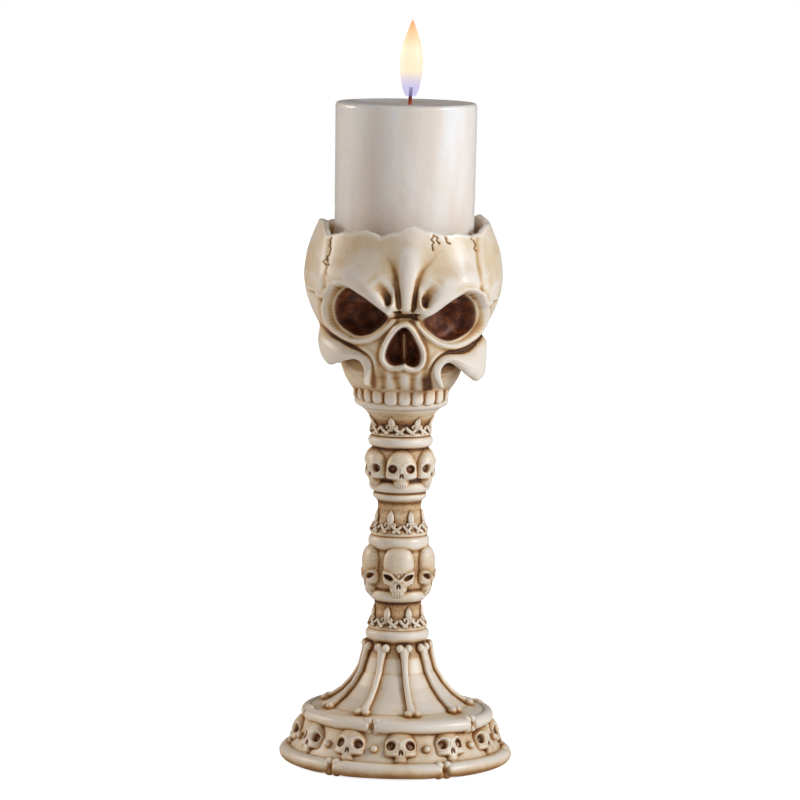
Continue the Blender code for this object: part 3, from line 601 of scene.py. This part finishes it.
# %% Cheekbones
def cheekbones(angle, z, carved):
    """The radius with cheekbones lifted off a sunken jaw, and how far each point is let down.

    A lobe's radius rounds off as a quarter circle, by 1 - sqrt(1 - (1 - s) ** 2), where s is
    the share of the way in from its outline.
    """
    front = 1.0 - ease(86, 104, np.abs(angle))
    near = np.interp(np.abs(angle), (0, 24, 46, 90), (1, 1, 0, 0))
    reach_radius = near * (skull_wall(0, z) + 2.0) + (1 - near) * LOBE_RADIUS
    x = reach_radius * np.sin(np.radians(angle))
    drop = np.zeros(np.shape(x))
    for outline, recess, hang in zip(CHEEKS, RECESSES, HANGS):
        edge = outline_distance(x, z, rounded(outline))
        reach = ease(15, 34, np.abs(x))
        inward = np.clip(-edge / (2.0 + 4.5 * reach), 0, 1)
        rounding = 1.0 - np.sqrt(1.0 - (1.0 - inward) ** 2)
        stand = 41.0 + 6.7 * reach - (1.8 + 5.0 * reach) * rounding
        lift = np.maximum(stand - carved, 0.0) * (1.0 - ease(-0.6, 0.9, edge))
        carved = carved + lift * front * (1.0 - 0.5 * ease(230, 241, z))
        inner = front * ease(205, 209, z) * ease(-33, -14, -np.abs(x))
        carved = carved + 0.8 * np.exp(-((edge - 0.8) / 1.5) ** 2) * inner
        edge = outline_distance(x, z, recess)
        jaw = np.interp(z, *np.array(JAW).T)
        carved = carved + np.minimum(jaw - carved, 0.0) * (1.0 - ease(-1.6, 0.2, edge)) * front
        far = np.interp(x, *np.array(hang).T, left=0, right=0) * (1.0 - ease(221, 231, z))
        drop = drop + far * ease(jaw + 1, 43, carved) * front
    return carved, drop


# %% The whole face
def crack_marks(x, z):
    """exp(-(distance / width) ** 2) off lines that waver: narrow for a crack, wide for its tint."""
    cracks, tint = np.zeros(np.shape(x)), np.zeros(np.shape(x))
    for crack in CRACKS:
        away, = line_distance(x + 0.3 * np.sin(2.3 * z), z, crack)
        cracks = np.maximum(cracks, 0.85 * np.exp(-(away / 0.38) ** 2))
        tint = np.maximum(tint, 0.22 * np.exp(-(away / 1.3) ** 2))
    return cracks, tint


def face(angle, z):
    """Radius of the carved skull in mm, its stain and crack marks, and how far points hang.

    The wall, plus what each part of the face adds, faded out towards the back.
    """
    wall = skull_wall(angle, z)
    x = wall * np.sin(np.radians(angle))
    ahead = ease(-0.05, 0.30, np.cos(np.radians(angle)))
    eyes, eye_stain, eye_tint = socket_relief(x, z, angle)
    muzzle, nose_stain, root_tint = muzzle_relief(x, z)
    carved = wall + (brow_relief(x, z) + eyes + muzzle) * ahead
    carved, drop = cheekbones(angle, z, carved)
    cracks, crack_tint = crack_marks(x, z)
    seam = np.exp(-((np.abs(x + 0.4) - 39.6) / 1.7) ** 2) * ease(250, 262, z)
    carved = carved - (0.35 * cracks + 0.6 * seam) * ahead
    cracks = np.maximum.reduce([cracks, crack_tint, eye_tint, root_tint])
    stain = np.maximum(eye_stain, nose_stain)
    carved = np.maximum(carved, np.interp(z, *np.array(LEAST_RADIUS).T))
    return carved, stain * ahead, cracks * ahead, drop * ahead


# %% The skull as one sheet
def skull_sheet():
    """Rings from the foot up the carved wall, round the rim's edge, and down into the cup."""
    # Columns stand 0.67 degrees apart in front and thin out smoothly towards the back
    places = np.linspace(0, 180, 721)
    columns = np.cumsum(np.interp(places, (0, 80, 130, 180), (1.5, 1.5, 0.38, 0.38))) * 0.25
    half = np.interp(np.linspace(columns[0], columns[-1], int(columns[-1])), columns, places)
    angle = np.concatenate([half, -half[-2:0:-1]])
    rim = np.interp(angle, RIM_LINE[:, 0], RIM_LINE[:, 1])
    rim = rim + 0.25 * np.sin(np.radians(angle) * 23) + 0.2 * np.sin(np.radians(angle) * 41 + 1)
    share = np.linspace(0, 1, 226)[:, None]
    crest = rim - RIM_ROUND
    height = FOOT_Z + share * (crest - FOOT_Z)
    radius, stain, cracks, drop = face(np.broadcast_to(angle, height.shape), height)
    turn = np.linspace(0, np.pi, 10)[1:, None]
    edge = radius[-1] - RIM_THICK / 2 * (1 - np.cos(turn))
    edge_height = crest + RIM_ROUND * np.sin(turn)
    down = np.linspace(0, 1, 9)[1:, None]
    mouth = np.minimum(MOUTH, radius[-1] - RIM_THICK)
    inner = (radius[-1] - RIM_THICK) * (1 - down) + mouth * down
    inner_height = crest * (1 - down) + MOUTH_Z * down
    seat = mouth * (1 - down) + SEAT * down
    seat_height = MOUTH_Z * (1 - down) + FLOOR_Z * down + 0 * mouth
    rows = [(radius, height - drop), (edge, edge_height), (inner, inner_height), (seat, seat_height)]
    grid = np.concatenate([polar(angle, r, h) for r, h in rows])
    blank = np.zeros((len(grid) - len(stain), len(angle)))
    # The rim and the inner rows carry the mark clean, which keeps most painted shade and joint wash off
    # the cup
    inside = np.concatenate([0 * stain, blank + 0.85])
    flat = [np.concatenate([one, blank]).ravel() for one in (stain, cracks)] + [inside.ravel()]
    return shell(grid), [np.append(one, [0, 0]) for one in flat]


skull_shell, (skull_stain, skull_cracks, skull_inside) = skull_sheet()
skull = piece("skull", [skull_shell], FACE_RESIN, "resin", 14, stain=skull_stain,
              crack=skull_cracks, clean=skull_inside)

# %% [markdown]
# ## Teeth
# The upper teeth stand in an arc on the collar. Each is a ball pulled towards a box, so that its
# face is flat and its corners are round.

# %% Teeth
TEETH = ((-66, 2.0, 3.4), (-54, 2.5, 3.8), (-42, 2.8, 4.4), (-28.4, 3.3, 4.8), (-12, 3.9, 5.5),
         (3.4, 3.7, 5.5), (18.8, 3.6, 5.6), (34.4, 3.6, 5.5), (49, 3.1, 5.0), (62, 2.3, 4.0))
TOOTH_RADIUS, TOOTH_HEIGHT = 25.4, 202.0


def tooth(angle, half_width, half_height):
    """A ball whose coordinates are raised to the power 0.72, which squares it."""
    points, quads, fans = ball((0, 0, 0), (1, 1, 1), rows=26, sides=36)
    points = np.sign(points) * np.abs(points) ** 0.72
    points = points * [half_width, half_height, 2.9]
    points[:, 0] *= 1 - 0.10 * points[:, 1] / half_height
    return on_wall((points, quads, fans), angle, TOOTH_RADIUS, TOOTH_HEIGHT)


piece("teeth", [tooth(*one) for one in TEETH], TOOTH_RESIN, "resin", 6, stain=0.0)

# %% [markdown]
# ## The turned core
# Everything below the skull grows out of one turned shape. Its outline runs down the outer side.
# It is walked in small equal steps and smoothed a little, which rounds every corner as a mould
# does. Parts of it carry fine pits, marked by the attribute stipple.

# %% The core
CORE = ((18, 204), (23.4, 200.6), (25.1, 198.6), (25.5, 196.8), (24.9, 195), (23, 193.8),
        (21.5, 193.4), (21, 192.6), (19.6, 191.6), (17.8, 189.4), (15.8, 186.6), (15.0, 184.6),
        (15.4, 180.4), (16.6, 179.6), (16.3, 178.6),
        (15.4, 178.2), (16.6, 177.6), (17.5, 176.2), (17.5, 174.4), (16.8, 172.8), (15.2, 171.8),
        (15.5, 170), (16.0, 165), (15.9, 158), (15.0, 154.2), (15.4, 153.6), (16.6, 152),
        (16.7, 150.2), (15.8, 148.4), (14.0, 147.6), (13.9, 147), (14.6, 146), (14.5, 144.4),
        (13, 143.4), (11.9, 142), (11.6, 137.5), (12.2, 132.5), (13.4, 128.6), (15.3, 126),
        (15.6, 124.8), (14.8, 124), (15.8, 123.2), (16.6, 121.6), (16.5, 118.6), (15.6, 117),
        (15.3, 116.4), (15.7, 114), (16.1, 106), (15.8, 98), (14.8, 94.8), (15.2, 94), (16, 92.6),
        (15.8, 90.4), (14.4, 88.8), (12.8, 87.8), (12.5, 84), (13, 79.6), (14.6, 75.6),
        (16.2, 73.8), (15.4, 73), (16.2, 72.4), (17.3, 71), (17.2, 68.6), (16.4, 67.2),
        (15.9, 66), (17.6, 57.5), (19.7, 50), (24.2, 42.6), (29.6, 36.6), (35, 32.6), (38, 31),
        (42, 30.1), (48.6, 29), (49.6, 27.6), (49.4, 24.6), (51.6, 18), (57.4, 8.4), (59.2, 3.6))
STIPPLED = ((191, 179.6), (171.4, 153.4), (142.6, 125.4), (116.4, 94.4), (88, 73.8), (66, 58))


def walk(profile, step, passes):
    """The outline at equal steps along it, smoothed by averaging neighbours."""
    corners = np.array(profile, dtype=float)
    along = np.concatenate([[0], np.cumsum(np.hypot(*np.diff(corners, axis=0).T))])
    places = np.arange(0, along[-1], step)
    line = np.stack([np.interp(places, along, corners[:, k]) for k in (0, 1)], -1)
    for _ in range(passes):
        line[1:-1] = 0.25 * line[:-2] + 0.5 * line[1:-1] + 0.25 * line[2:]
    return line


core_line = walk(CORE, 0.5, 2)[::-1]
core_turn = np.arange(0, 360, 2.4)
core_grid = polar(core_turn, core_line[:, :1], core_line[:, 1:])
foot_row = polar(core_turn, 59.0, 0.6)[None]
core_grid = np.concatenate([foot_row, core_grid])
core_z = core_grid[..., 2].ravel()
core_stipple = sum(ease(low - 1, low + 1, core_z) * (1 - ease(high - 1, high + 1, core_z))
                   for high, low in STIPPLED)
piece("core", [shell(core_grid)], CORE_RESIN, "resin", 26, stain=0.0,
      stipple=np.append(core_stipple, [0, 0]))


def core_radius(height):
    """Radius of the turned core at a height."""
    return np.interp(height, core_line[:, 1], core_line[:, 0])


# %% [markdown]
# ## Bones
# A long bone is a waisted rod with two knobs at each end. Nine lean against the cone, six make
# the ledge and six make the foot. The rods follow the cone's own outline or a circle.


# %% One bone
def bone(path, outward, radius, knob, apart, waist=0.12, splay=0.075):
    """A rod along a path, r (1 - waist sin pi s), whose flared ends round into pairs of knobs."""
    path = np.asarray(path, dtype=float)
    outward = np.broadcast_to(outward, path.shape).astype(float)
    share = np.linspace(0, 1, len(path))
    end = np.minimum(share, 1 - share)
    flare = np.exp(-(end / splay) ** 1.5)
    close = ease(-0.004, 0.022, end)
    size = radius * (1 - waist * np.sin(np.pi * share))
    made = [tube(path, (size + flare * (apart / 2 + 0.45 * knob - radius)) * close,
                 size * (1 + 0.05 * flare) * close, outward, 20)]
    for here, inner in ((0, 1), (-1, -2)):
        along = path[here] - path[inner]
        along /= np.linalg.norm(along)
        across = np.cross(along, outward[here])
        across /= np.linalg.norm(across)
        for side in (-1, 1):
            place = path[here] + across * side * apart / 2 - along * knob * 0.55
            axes = (across, along, outward[here])
            made.append(ball(place, (knob, knob * 1.1, knob), axes))
    return made


# %% Bones of the cone
def down_cone(turn, start, end, above, count=40):
    """Equal steps down the core's outline, from one height to a radius, a little above it."""
    line = core_line[::-1]
    first = np.argmax(line[:, 1] < start)
    last = first + np.argmax(line[first:, 0] > end)
    places = np.linspace(first, last, count)
    radius, height = (np.interp(places, np.arange(len(line)), line[:, k]) for k in (0, 1))
    slope = np.stack([-np.gradient(height), np.gradient(radius)], -1)
    slope /= np.linalg.norm(slope, axis=1, keepdims=True)
    radius, height = radius + above * slope[:, 0], height + above * slope[:, 1]
    return polar(turn, radius, height), polar(turn, slope[:, 0], slope[:, 1])


cone_bones = []
for number in range(9):
    path, out = down_cone(13 + 40 * number, 65.0, 40.5, 1.1)
    cone_bones += bone(path, out, 1.85, 2.15, 4.6, splay=0.12)
piece("cone_bones", cone_bones, RELIEF_RESIN, "resin", 5, stain=0.0)

# %% Bones of the ledge and the foot
LEDGE_JOINTS = ((-14.6, 48.6), (49, 52.2), (110, 47.6), (170, 48), (228, 48), (284, 47.8),
                (345.4, 48.6))
FOOT_JOINTS = tuple((turn, 58.6) for turn in (-34.3, 25.8, 86, 146, 206, 266, 325.7))


def bone_ring(joints, height, thick, knob, apart, gap):
    """Bones end to end through (angle, radius) joints, each pair of knobs one over the other."""
    made = []
    for (start, first), (end, last) in zip(joints, joints[1:]):
        turn = np.linspace(start + gap, end - gap, 60)
        path = polar(turn, np.linspace(first, last, 60), height)
        out = polar(turn, 1.0, 0.0)
        made += bone(path, out, thick, knob, apart, waist=0.08)
    return made


for name, joints, sizes in (("ledge_bones", LEDGE_JOINTS, (26.5, 3.8, 2.4, 4.5, 1.0)),
                            ("foot_bones", FOOT_JOINTS, (4.6, 4.45, 2.65, 4.5, 0.9))):
    piece(name, bone_ring(joints, *sizes), RELIEF_RESIN, "resin", 8, stain=0.0)


# %% [markdown]
# ## Small skulls
# The small skulls of the drums and of the foot share one function. Its grid covers the front of
# a skull between an outline on the left and on the right, bulges out, and is then pitted for the
# sockets and nose. All its numbers are shares of the skull's width or height.

# %% One small skull
CALM = dict(edge=((-0.5, 0.11), (-0.46, 0.19), (-0.4, 0.23), (-0.31, 0.26), (-0.26, 0.31),
                  (-0.235, 0.43), (-0.2, 0.485), (-0.1, 0.5), (-0.03, 0.485), (0.1, 0.475),
                  (0.2, 0.445), (0.28, 0.40), (0.36, 0.335), (0.42, 0.27), (0.47, 0.18), (0.5, 0.05)),
            eyes=0.025, eye_x=0.27, eye=(0.15, 0.125), slant=-6, nose=-0.15,
            brow=((0.44, 0.10), (0.26, 0.145), (0.06, 0.08)), frown=0.02)
ANGRY = dict(edge=((-0.5, 0.14), (-0.46, 0.21), (-0.4, 0.25), (-0.3, 0.28), (-0.26, 0.36),
                   (-0.23, 0.45), (-0.15, 0.49), (-0.07, 0.5), (-0.01, 0.49), (0.04, 0.46),
                   (0.14, 0.475), (0.24, 0.465), (0.32, 0.43), (0.4, 0.355), (0.46, 0.24), (0.5, 0.05)),
             eyes=-0.1, eye_x=0.30, eye=(0.175, 0.056), slant=-27, nose=-0.275,
             brow=((0.47, 0.095), (0.28, 0.048), (0.05, -0.06)), frown=0.085)
DEPTH_SHARE = 0.88


def small_skull(width, height, kind):
    """A skull front as rings: out over the carved face, and back flat behind it.

    The depth is bulge (1 - |u| ** 2.3) ** 0.55, less pits and plus ridges, where u runs from
    -1 at the left outline to 1 at the right.
    """
    v = np.linspace(-0.5, 0.5, 74)[:, None]
    u = np.sin(np.linspace(-np.pi / 2, np.pi / 2, 72))[None, :]
    edge = np.array(kind["edge"])
    half = np.interp(v, edge[:, 0], edge[:, 1])
    x = u * half
    tall = height / width
    bulge = soft(v, (-0.5, -0.45, -0.38, -0.25, -0.1, 0.05, 0.2, 0.34, 0.44, 0.5),
                 (0.12, 0.20, 0.25, 0.26, 0.29, 0.33, 0.34, 0.29, 0.19, 0.02), 0.05)
    depth = bulge * np.clip(1 - np.abs(u) ** 2.3, 0, 1) ** 0.55
    stain = np.zeros(x.shape)

    def near(points, width):
        """exp(-(distance / width) ** 2) off a line, with the line's heights as shares."""
        away, = line_distance(x, v * tall, [(across, up * tall) for across, up in points])
        return np.exp(-(away / width) ** 2)

    mid = kind["eyes"]
    # One eye on each side, with a brow over it and a cheekbone under it
    for side in (-1, 1):
        turn = np.radians(kind["slant"] * side)
        dx, dz = x - side * kind["eye_x"], (v - mid) * tall
        along = dx * np.cos(turn) - dz * np.sin(turn)
        up = dz * np.cos(turn) + dx * np.sin(turn)
        out = np.hypot(along / kind["eye"][0], up / (kind["eye"][1] * tall))
        depth = depth - 0.17 * (1 - ease(0.5, 1.12, out))
        stain = np.maximum(stain, 0.45 * (1 - ease(0.5, 1.0, out)))
        brow = kind["brow"]
        depth = depth + kind["frown"] * near([(side * a, mid + b) for a, b in brow], 0.055)
        low = mid - 0.19
        depth = depth + 0.03 * near(((side * 0.44, low), (side * 0.2, low - 0.03)), 0.06)
        depth = depth - 0.06 * near(((side * 0.34, low - 0.13), (side * 0.22, low - 0.13)), 0.06)
    nose = kind["nose"]
    for side in (-1, 1):
        out = np.hypot((x - side * (0.034 - 0.25 * (v - nose))) / 0.036, (v - nose) * tall / 0.095)
        depth = depth - 0.06 * (1 - ease(0.5, 1.1, out))
        stain = np.maximum(stain, 0.5 * (1 - ease(0.6, 1.0, out)))
    depth = depth + 0.03 * near(((0, mid + 0.02), (0, nose + 0.06)), 0.05)
    # A row of teeth: upright grooves below a shallow step
    row = 1 - ease(-0.42, -0.385, v)
    groove = np.abs(np.cos(np.pi * x / 0.078)) ** 0.6
    depth = depth + row * (0.034 * groove - 0.022)
    depth = depth - 0.010 * np.exp(-((v + 0.385) / 0.016) ** 2) * (np.abs(x) < 0.3)
    if kind is ANGRY:
        for line in (((-0.035, -0.12), (-0.06, -0.04)), ((0.035, -0.12), (0.065, -0.03)),
                     ((0.0, -0.13), (0.005, -0.02)), ((-0.09, -0.09), (-0.16, -0.03)),
                     ((0.09, -0.09), (0.17, -0.02))):
            depth = depth - 0.024 * near(line, 0.017)
    front = np.stack([x * width, v * height + 0 * x, DEPTH_SHARE * depth * width], -1)
    back_x = x[:, ::-1][:, 1:-1:6]
    flat = -0.11 * width + 0 * back_x
    back = np.stack([back_x * width, v * height + 0 * back_x, flat], -1)
    marks = np.concatenate([stain, 0 * back_x], 1)
    return shell(np.concatenate([front, back], 1)), np.append(marks.ravel(), [0, 0])


# %% Rings of small skulls
def skull_ring(name, count, turn, radius, height, sizes, kind, lean=0.0):
    """The same small skull set round the wall a number of times."""
    one, marks = small_skull(*sizes, kind)
    made = [on_wall(one, turn + k * 360 / count, radius, height, lean) for k in range(count)]
    piece(name, made, RELIEF_RESIN, "resin", 5, stain=np.tile(marks, count))


skull_ring("upper_skulls", 6, 2.5, 15.1, 160.9, (17.2, 20.8), CALM)
skull_ring("lower_skulls", 5, 0.5, 15.0, 105.4, (17.5, 27.8), ANGRY)
skull_ring("band_skulls", 12, 3.0, 51.2, 15.5, (18.6, 22.6), CALM, 27.0)
beads = [ball(polar(18 + 30 * k, 54.0, 15.4), (2.1, 2.1, 2.1)) for k in range(12)]
piece("beads", beads, RELIEF_RESIN, "resin", 4, stain=0.0)

# %% [markdown]
# ## Leaf collars
# Each neck of the stem has a ring of three-leaf ornaments over a band of crossed ribbons. A
# ribbon is a flat rod through three points on the wall, and those that run down to the right lie
# over the others. A leaf is a rod that swells and tapers to a point, with a rib along its middle.


# %% Collars
def strip(here, stations, wide, thick, lift):
    """A flat ribbon on the wall through (across, up, lift) stations, pointed at its top end."""
    share = np.linspace(0, 1, 18)
    knots = np.linspace(0, 1, len(stations))
    across, up = (curve(share, knots, [one[k] for one in stations]) for k in (0, 1))
    base = core_radius(up)
    path = polar(here + np.degrees(across / base), base + lift, up)
    taper = ease(-0.02, 0.16, share) * ease(-0.01, 0.06, 1 - share)
    return tube(path, wide * (0.15 + 0.85 * taper), thick * (0.2 + 0.8 * taper),
                directions(here)[2], 12)


OVER, UNDER = ((0, 5.2), (2.3, 2.8), (5.6, 0.9)), ((0.6, 4.8), (-1.4, 2.6), (-3.8, 0.9))
RIBBONS = ((0.06, OVER, (0.95, 0.8, 0.75)), (0.50, OVER, (0.95, 0.8, 0.75)),
           (-0.02, UNDER, (0.9, 0.65, 0.4)), (0.46, UNDER, (0.9, 0.65, 0.4)))


def collar(count, turn, tip, low):
    """Crossed ribbons above a moulding, and a leaf with a curl on each side, a number of times."""
    made = []
    for k in range(count):
        here = turn + k * 360 / count
        pitch = 2 * np.pi * core_radius(low + 2) / count
        out = directions(here)[2]
        for start, bends, sizes in RIBBONS:
            stations = [(start * pitch + across, low + up) for across, up in bends]
            made.append(strip(here, stations, *sizes))
        share = np.linspace(0, 1, 18)
        foot = low + 2.4
        height = foot + share * (tip - foot)
        size = curve(share, (0, 0.2, 0.5, 0.75, 0.92, 1), (0.35, 0.55, 1.0, 0.78, 0.3, 0.04))
        path = polar(here, core_radius(height) + 0.1 + 0.45 * size, height)
        made.append(tube(path, 1.95 * size, 0.25 + 0.85 * size, out, 14))
        rib = polar(here, core_radius(height) + 0.65 + 0.9 * size, height)
        made.append(tube(rib, 0.22 * size + 0.02, 0.22 * size + 0.02, out, 8))
        for side in (-1, 1):
            swing = np.linspace(-60, 190, 16)
            across = side * (1.9 - 1.15 * np.cos(np.radians(swing)))
            up = low + 4.5 + 1.1 * np.sin(np.radians(swing))
            rim = core_radius(up) + 0.55
            path = polar(here + np.degrees(across / rim), rim, up)
            made.append(tube(path, 0.55, 0.6, out, 10))
            end = polar(here + np.degrees(side * 2.75 / rim[-1]), rim[-1] + 0.1, low + 4.5)
            made.append(ball(end, (0.8, 0.8, 0.8), rows=8, sides=12))
    return made


COLLARS = ((7, -18, 189.4, 178.9), (7, -21.5, 138.2, 125.4), (7, -25, 86.0, 73.8))
collars = [part for row in COLLARS for part in collar(*row)]
piece("collars", collars, RELIEF_RESIN, "resin", 3, stain=0.0)

# %% [markdown]
# ## Candle, wick and flame
# The candle only rests in the cup. Wax lets light in a little way, so its shader scatters light
# below the surface. The flame gives off light and fades towards its foot.


# %% Wax, wick and flame materials
def up_the_object(tree, low, high, stops):
    """A colour ramp from one height to another, in metres."""
    height = node(tree, "ShaderNodeSeparateXYZ")
    level = node(tree, "ShaderNodeMapRange", {"From Min": low, "From Max": high})
    wire(tree, (node(tree, "ShaderNodeTexCoord").outputs["Object"], height.inputs[0]),
         (height.outputs["Z"], level.inputs["Value"]))
    return ramp(tree, level.outputs[0], stops)


def wax():
    """Cream wax with soft upright bands of tan, a low ripple and a satin sheen."""
    made, tree, shader = material("candle wax")
    stretch = texture(tree, "ShaderNodeMapping", Scale=(22.0, 22.0, 5.0))
    cloud = node(tree, "ShaderNodeTexNoise", {"Scale": 1.0, "Detail": 3.0})
    ripple = texture(tree, "ShaderNodeTexNoise", Scale=130.0, Detail=2.0)
    bump = node(tree, "ShaderNodeBump", {"Strength": 0.45, "Distance": 0.0012})
    stops = ((0.28, srgb(228, 208, 188)), (0.52, srgb(250, 247, 245)))
    wire(tree, (stretch.outputs["Vector"], cloud.inputs["Vector"]),
         (ramp(tree, cloud.outputs["Fac"], stops), shader.inputs["Base Color"]),
         (ripple.outputs["Fac"], bump.inputs["Height"]),
         (bump.outputs["Normal"], shader.inputs["Normal"]))
    set_inputs(shader, {"Roughness": 0.24, "Subsurface Weight": 0.35, "Subsurface Scale": 1.0,
                        "Subsurface Radius": (0.012, 0.008, 0.005)})
    return made


def char():
    """Nearly black thread with a dull red-brown glow towards its foot."""
    made, tree, shader = material("charred wick")
    glow = up_the_object(tree, 0.357, 0.3655, (
        (0.0, srgb(120, 45, 15)), (0.35, srgb(70, 25, 12)), (0.8, srgb(30, 18, 14))))
    wire(tree, (glow, shader.inputs["Base Color"]), (glow, shader.inputs["Emission Color"]))
    set_inputs(shader, {"Emission Strength": 0.8, "Roughness": 0.85})
    return made


def fire():
    """Light from pale cream in the middle to orange at the tip and lilac blue at the foot."""
    made, tree, shader = material("flame light")
    shade = up_the_object(tree, 0.360, 0.4014, (
        (0.0, srgb(150, 150, 225)), (0.16, srgb(206, 196, 232)), (0.34, srgb(255, 238, 206)),
        (0.62, srgb(255, 244, 208)), (0.86, srgb(255, 206, 150)), (1.0, srgb(255, 165, 105))))
    fade = up_the_object(tree, 0.360, 0.4014, (
        (0.0, (0.3, 0.3, 0.3, 1)), (0.25, (0.9, 0.9, 0.9, 1))))
    wire(tree, (shade, shader.inputs["Emission Color"]), (fade, shader.inputs["Alpha"]))
    set_inputs(shader, {"Base Color": (0, 0, 0, 1), "Emission Strength": 1.0})
    return made


# %% Candle, wick and flame
CANDLE_FOOT, CANDLE_TOP, WICK_X = FLOOR_Z + 0.3, 357.3, 1.9
candle_line = np.concatenate([
    [(0.5, CANDLE_FOOT), (36.6, CANDLE_FOOT), (37.2, CANDLE_FOOT + 0.8)],
    np.stack([np.linspace(37.25, 38.0, 60), np.linspace(CANDLE_FOOT + 2, CANDLE_TOP - 2.2, 60)], -1),
    [(37.9, CANDLE_TOP - 1.2), (37.4, CANDLE_TOP - 0.4), (36.6, CANDLE_TOP), (35.2, CANDLE_TOP - 0.2),
     (30, CANDLE_TOP - 1.0), (12, CANDLE_TOP - 1.6), (3.5, CANDLE_TOP - 1.9)]])
turn = np.arange(0, 360, 3.0)
candle_grid = polar(turn, candle_line[:, :1], candle_line[:, 1:])
candle = piece("wax_pillar", [shell(candle_grid)], wax(), "wax")
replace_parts(candle, "candle")

share = np.linspace(0, 1, 20)
wick_height = CANDLE_TOP - 1.3 + 9.3 * share
wick_path = np.stack([WICK_X + 0.5 * share ** 2, 0 * share, wick_height], -1)
twist = 0.95 + 0.12 * np.sin(share * 40)
strand = tube(wick_path, twist, twist, (0, -1, 0), 14)
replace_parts(piece("wick_thread", [strand], char(), "char"), "wick")

rise = np.linspace(0, 1, 40)
level = np.interp(rise, (0, 0.04, 0.12, 0.3, 0.5, 0.7, 0.86, 0.95, 1),
                  (2.6, 3.6, 4.7, 5.9, 6.1, 4.6, 2.4, 1.1, 0.15))
flame_path = np.stack([2.1 + 0.5 * rise, 0 * rise, 360.6 + 40.8 * rise], -1)
body = tube(flame_path, level, level * 0.9, (0, -1, 0), 32)
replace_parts(piece("flame_body", [body], fire(), "glow"), "flame")
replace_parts(skull, "candlestick")

# %% [markdown]
# ## Stage, light and camera
# A pale floor and a white world make a plain studio. The floor gives off just enough light
# towards the camera to look white, and more of it far away. The key lamp stands to the right, a
# warm one to the left, and two faint ones in front. The camera looks down a little.

# %% Floor and world
bpy.ops.mesh.primitive_plane_add(size=8.0, location=(0, 0, -0.0002))
floor = bpy.context.object
floor.name = "floor"
ground, tree, paper = material("floor")
set_inputs(paper, {"Base Color": (0.9, 0.9, 0.9, 1), "Roughness": 0.9,
                   "Emission Color": (1, 1, 1, 1)})
seen = node(tree, "ShaderNodeLightPath").outputs["Is Camera Ray"]
far_off = node(tree, "ShaderNodeVectorMath", operation="LENGTH")
wire(tree, (node(tree, "ShaderNodeTexCoord").outputs["Object"], far_off.inputs[0]))
glow = sums(tree, "ADD", sums(tree, "MULTIPLY", far_off.outputs["Value"], 0.5), 0.78)
lift = sums(tree, "MULTIPLY", seen, sums(tree, "MINIMUM", glow, 1.0))
wire(tree, (lift, paper.inputs["Emission Strength"]))
floor.data.materials.append(ground)

world = bpy.data.worlds.new("studio")
bpy.context.scene.world = world
world.use_nodes = True
backdrop = world.node_tree.nodes["Background"]
set_inputs(backdrop, {"Color": (1, 1, 1, 1)})
seen = node(world.node_tree, "ShaderNodeLightPath").outputs["Is Camera Ray"]
strength = sums(world.node_tree, "MAXIMUM", seen, 0.13)
world.node_tree.links.new(strength, backdrop.inputs["Strength"])


# %% Lamps
def lamp(name, place, target, size, power, colour):
    """A square area lamp that faces its target."""
    data = bpy.data.lights.new(name, "AREA")
    data.size = size
    data.energy = power
    data.color = colour
    item = bpy.data.objects.new(name, data)
    item.location = place
    item.rotation_euler = (Vector(target) - Vector(place)).to_track_quat("-Z", "Y").to_euler()
    bpy.context.scene.collection.objects.link(item)


lamp("key", (1.7, -0.7, 0.9), (0, 0, 0.18), 0.45, 23.5, (0.97, 0.98, 1.0))
lamp("edge", (-1.5, 0.35, 0.7), (0, 0, 0.25), 0.6, 11.5, (1.0, 0.88, 0.76))
lamp("warm", (-0.9, -1.7, 0.5), (0, 0, 0.2), 1.4, 1.5, (1.0, 0.80, 0.62))
lamp("top", (0.7, -1.4, 0.9), (0, 0, 0.15), 0.5, 3.4, (0.98, 0.98, 1.0))

# %% Camera
CAMERA_PLACE = Vector((-0.0007, -2.55, 0.495))
CAMERA_TARGET = Vector((-0.0007, 0.0, 0.1967))
CAMERA_ROLL, FOCAL_PIXELS, PICTURE_PIXELS = 1.0, 4760, 800
view = bpy.data.cameras.new("camera")
view.sensor_width = 36.0
view.lens = view.sensor_width * FOCAL_PIXELS / PICTURE_PIXELS
camera = bpy.data.objects.new("camera", view)
bpy.context.scene.collection.objects.link(camera)
ahead = (CAMERA_TARGET - CAMERA_PLACE).normalized()
right = Vector((1, 0, 0))
up = right.cross(ahead)
roll = np.radians(CAMERA_ROLL)
picture_right = right * np.cos(roll) + up * np.sin(roll)
picture_up = up * np.cos(roll) - right * np.sin(roll)
camera.matrix_world = Matrix.Translation(CAMERA_PLACE) @ Matrix(
    (picture_right, picture_up, -ahead)).transposed().to_4x4()
bpy.context.scene.camera = camera
bpy.context.scene.view_settings.view_transform = "Standard"
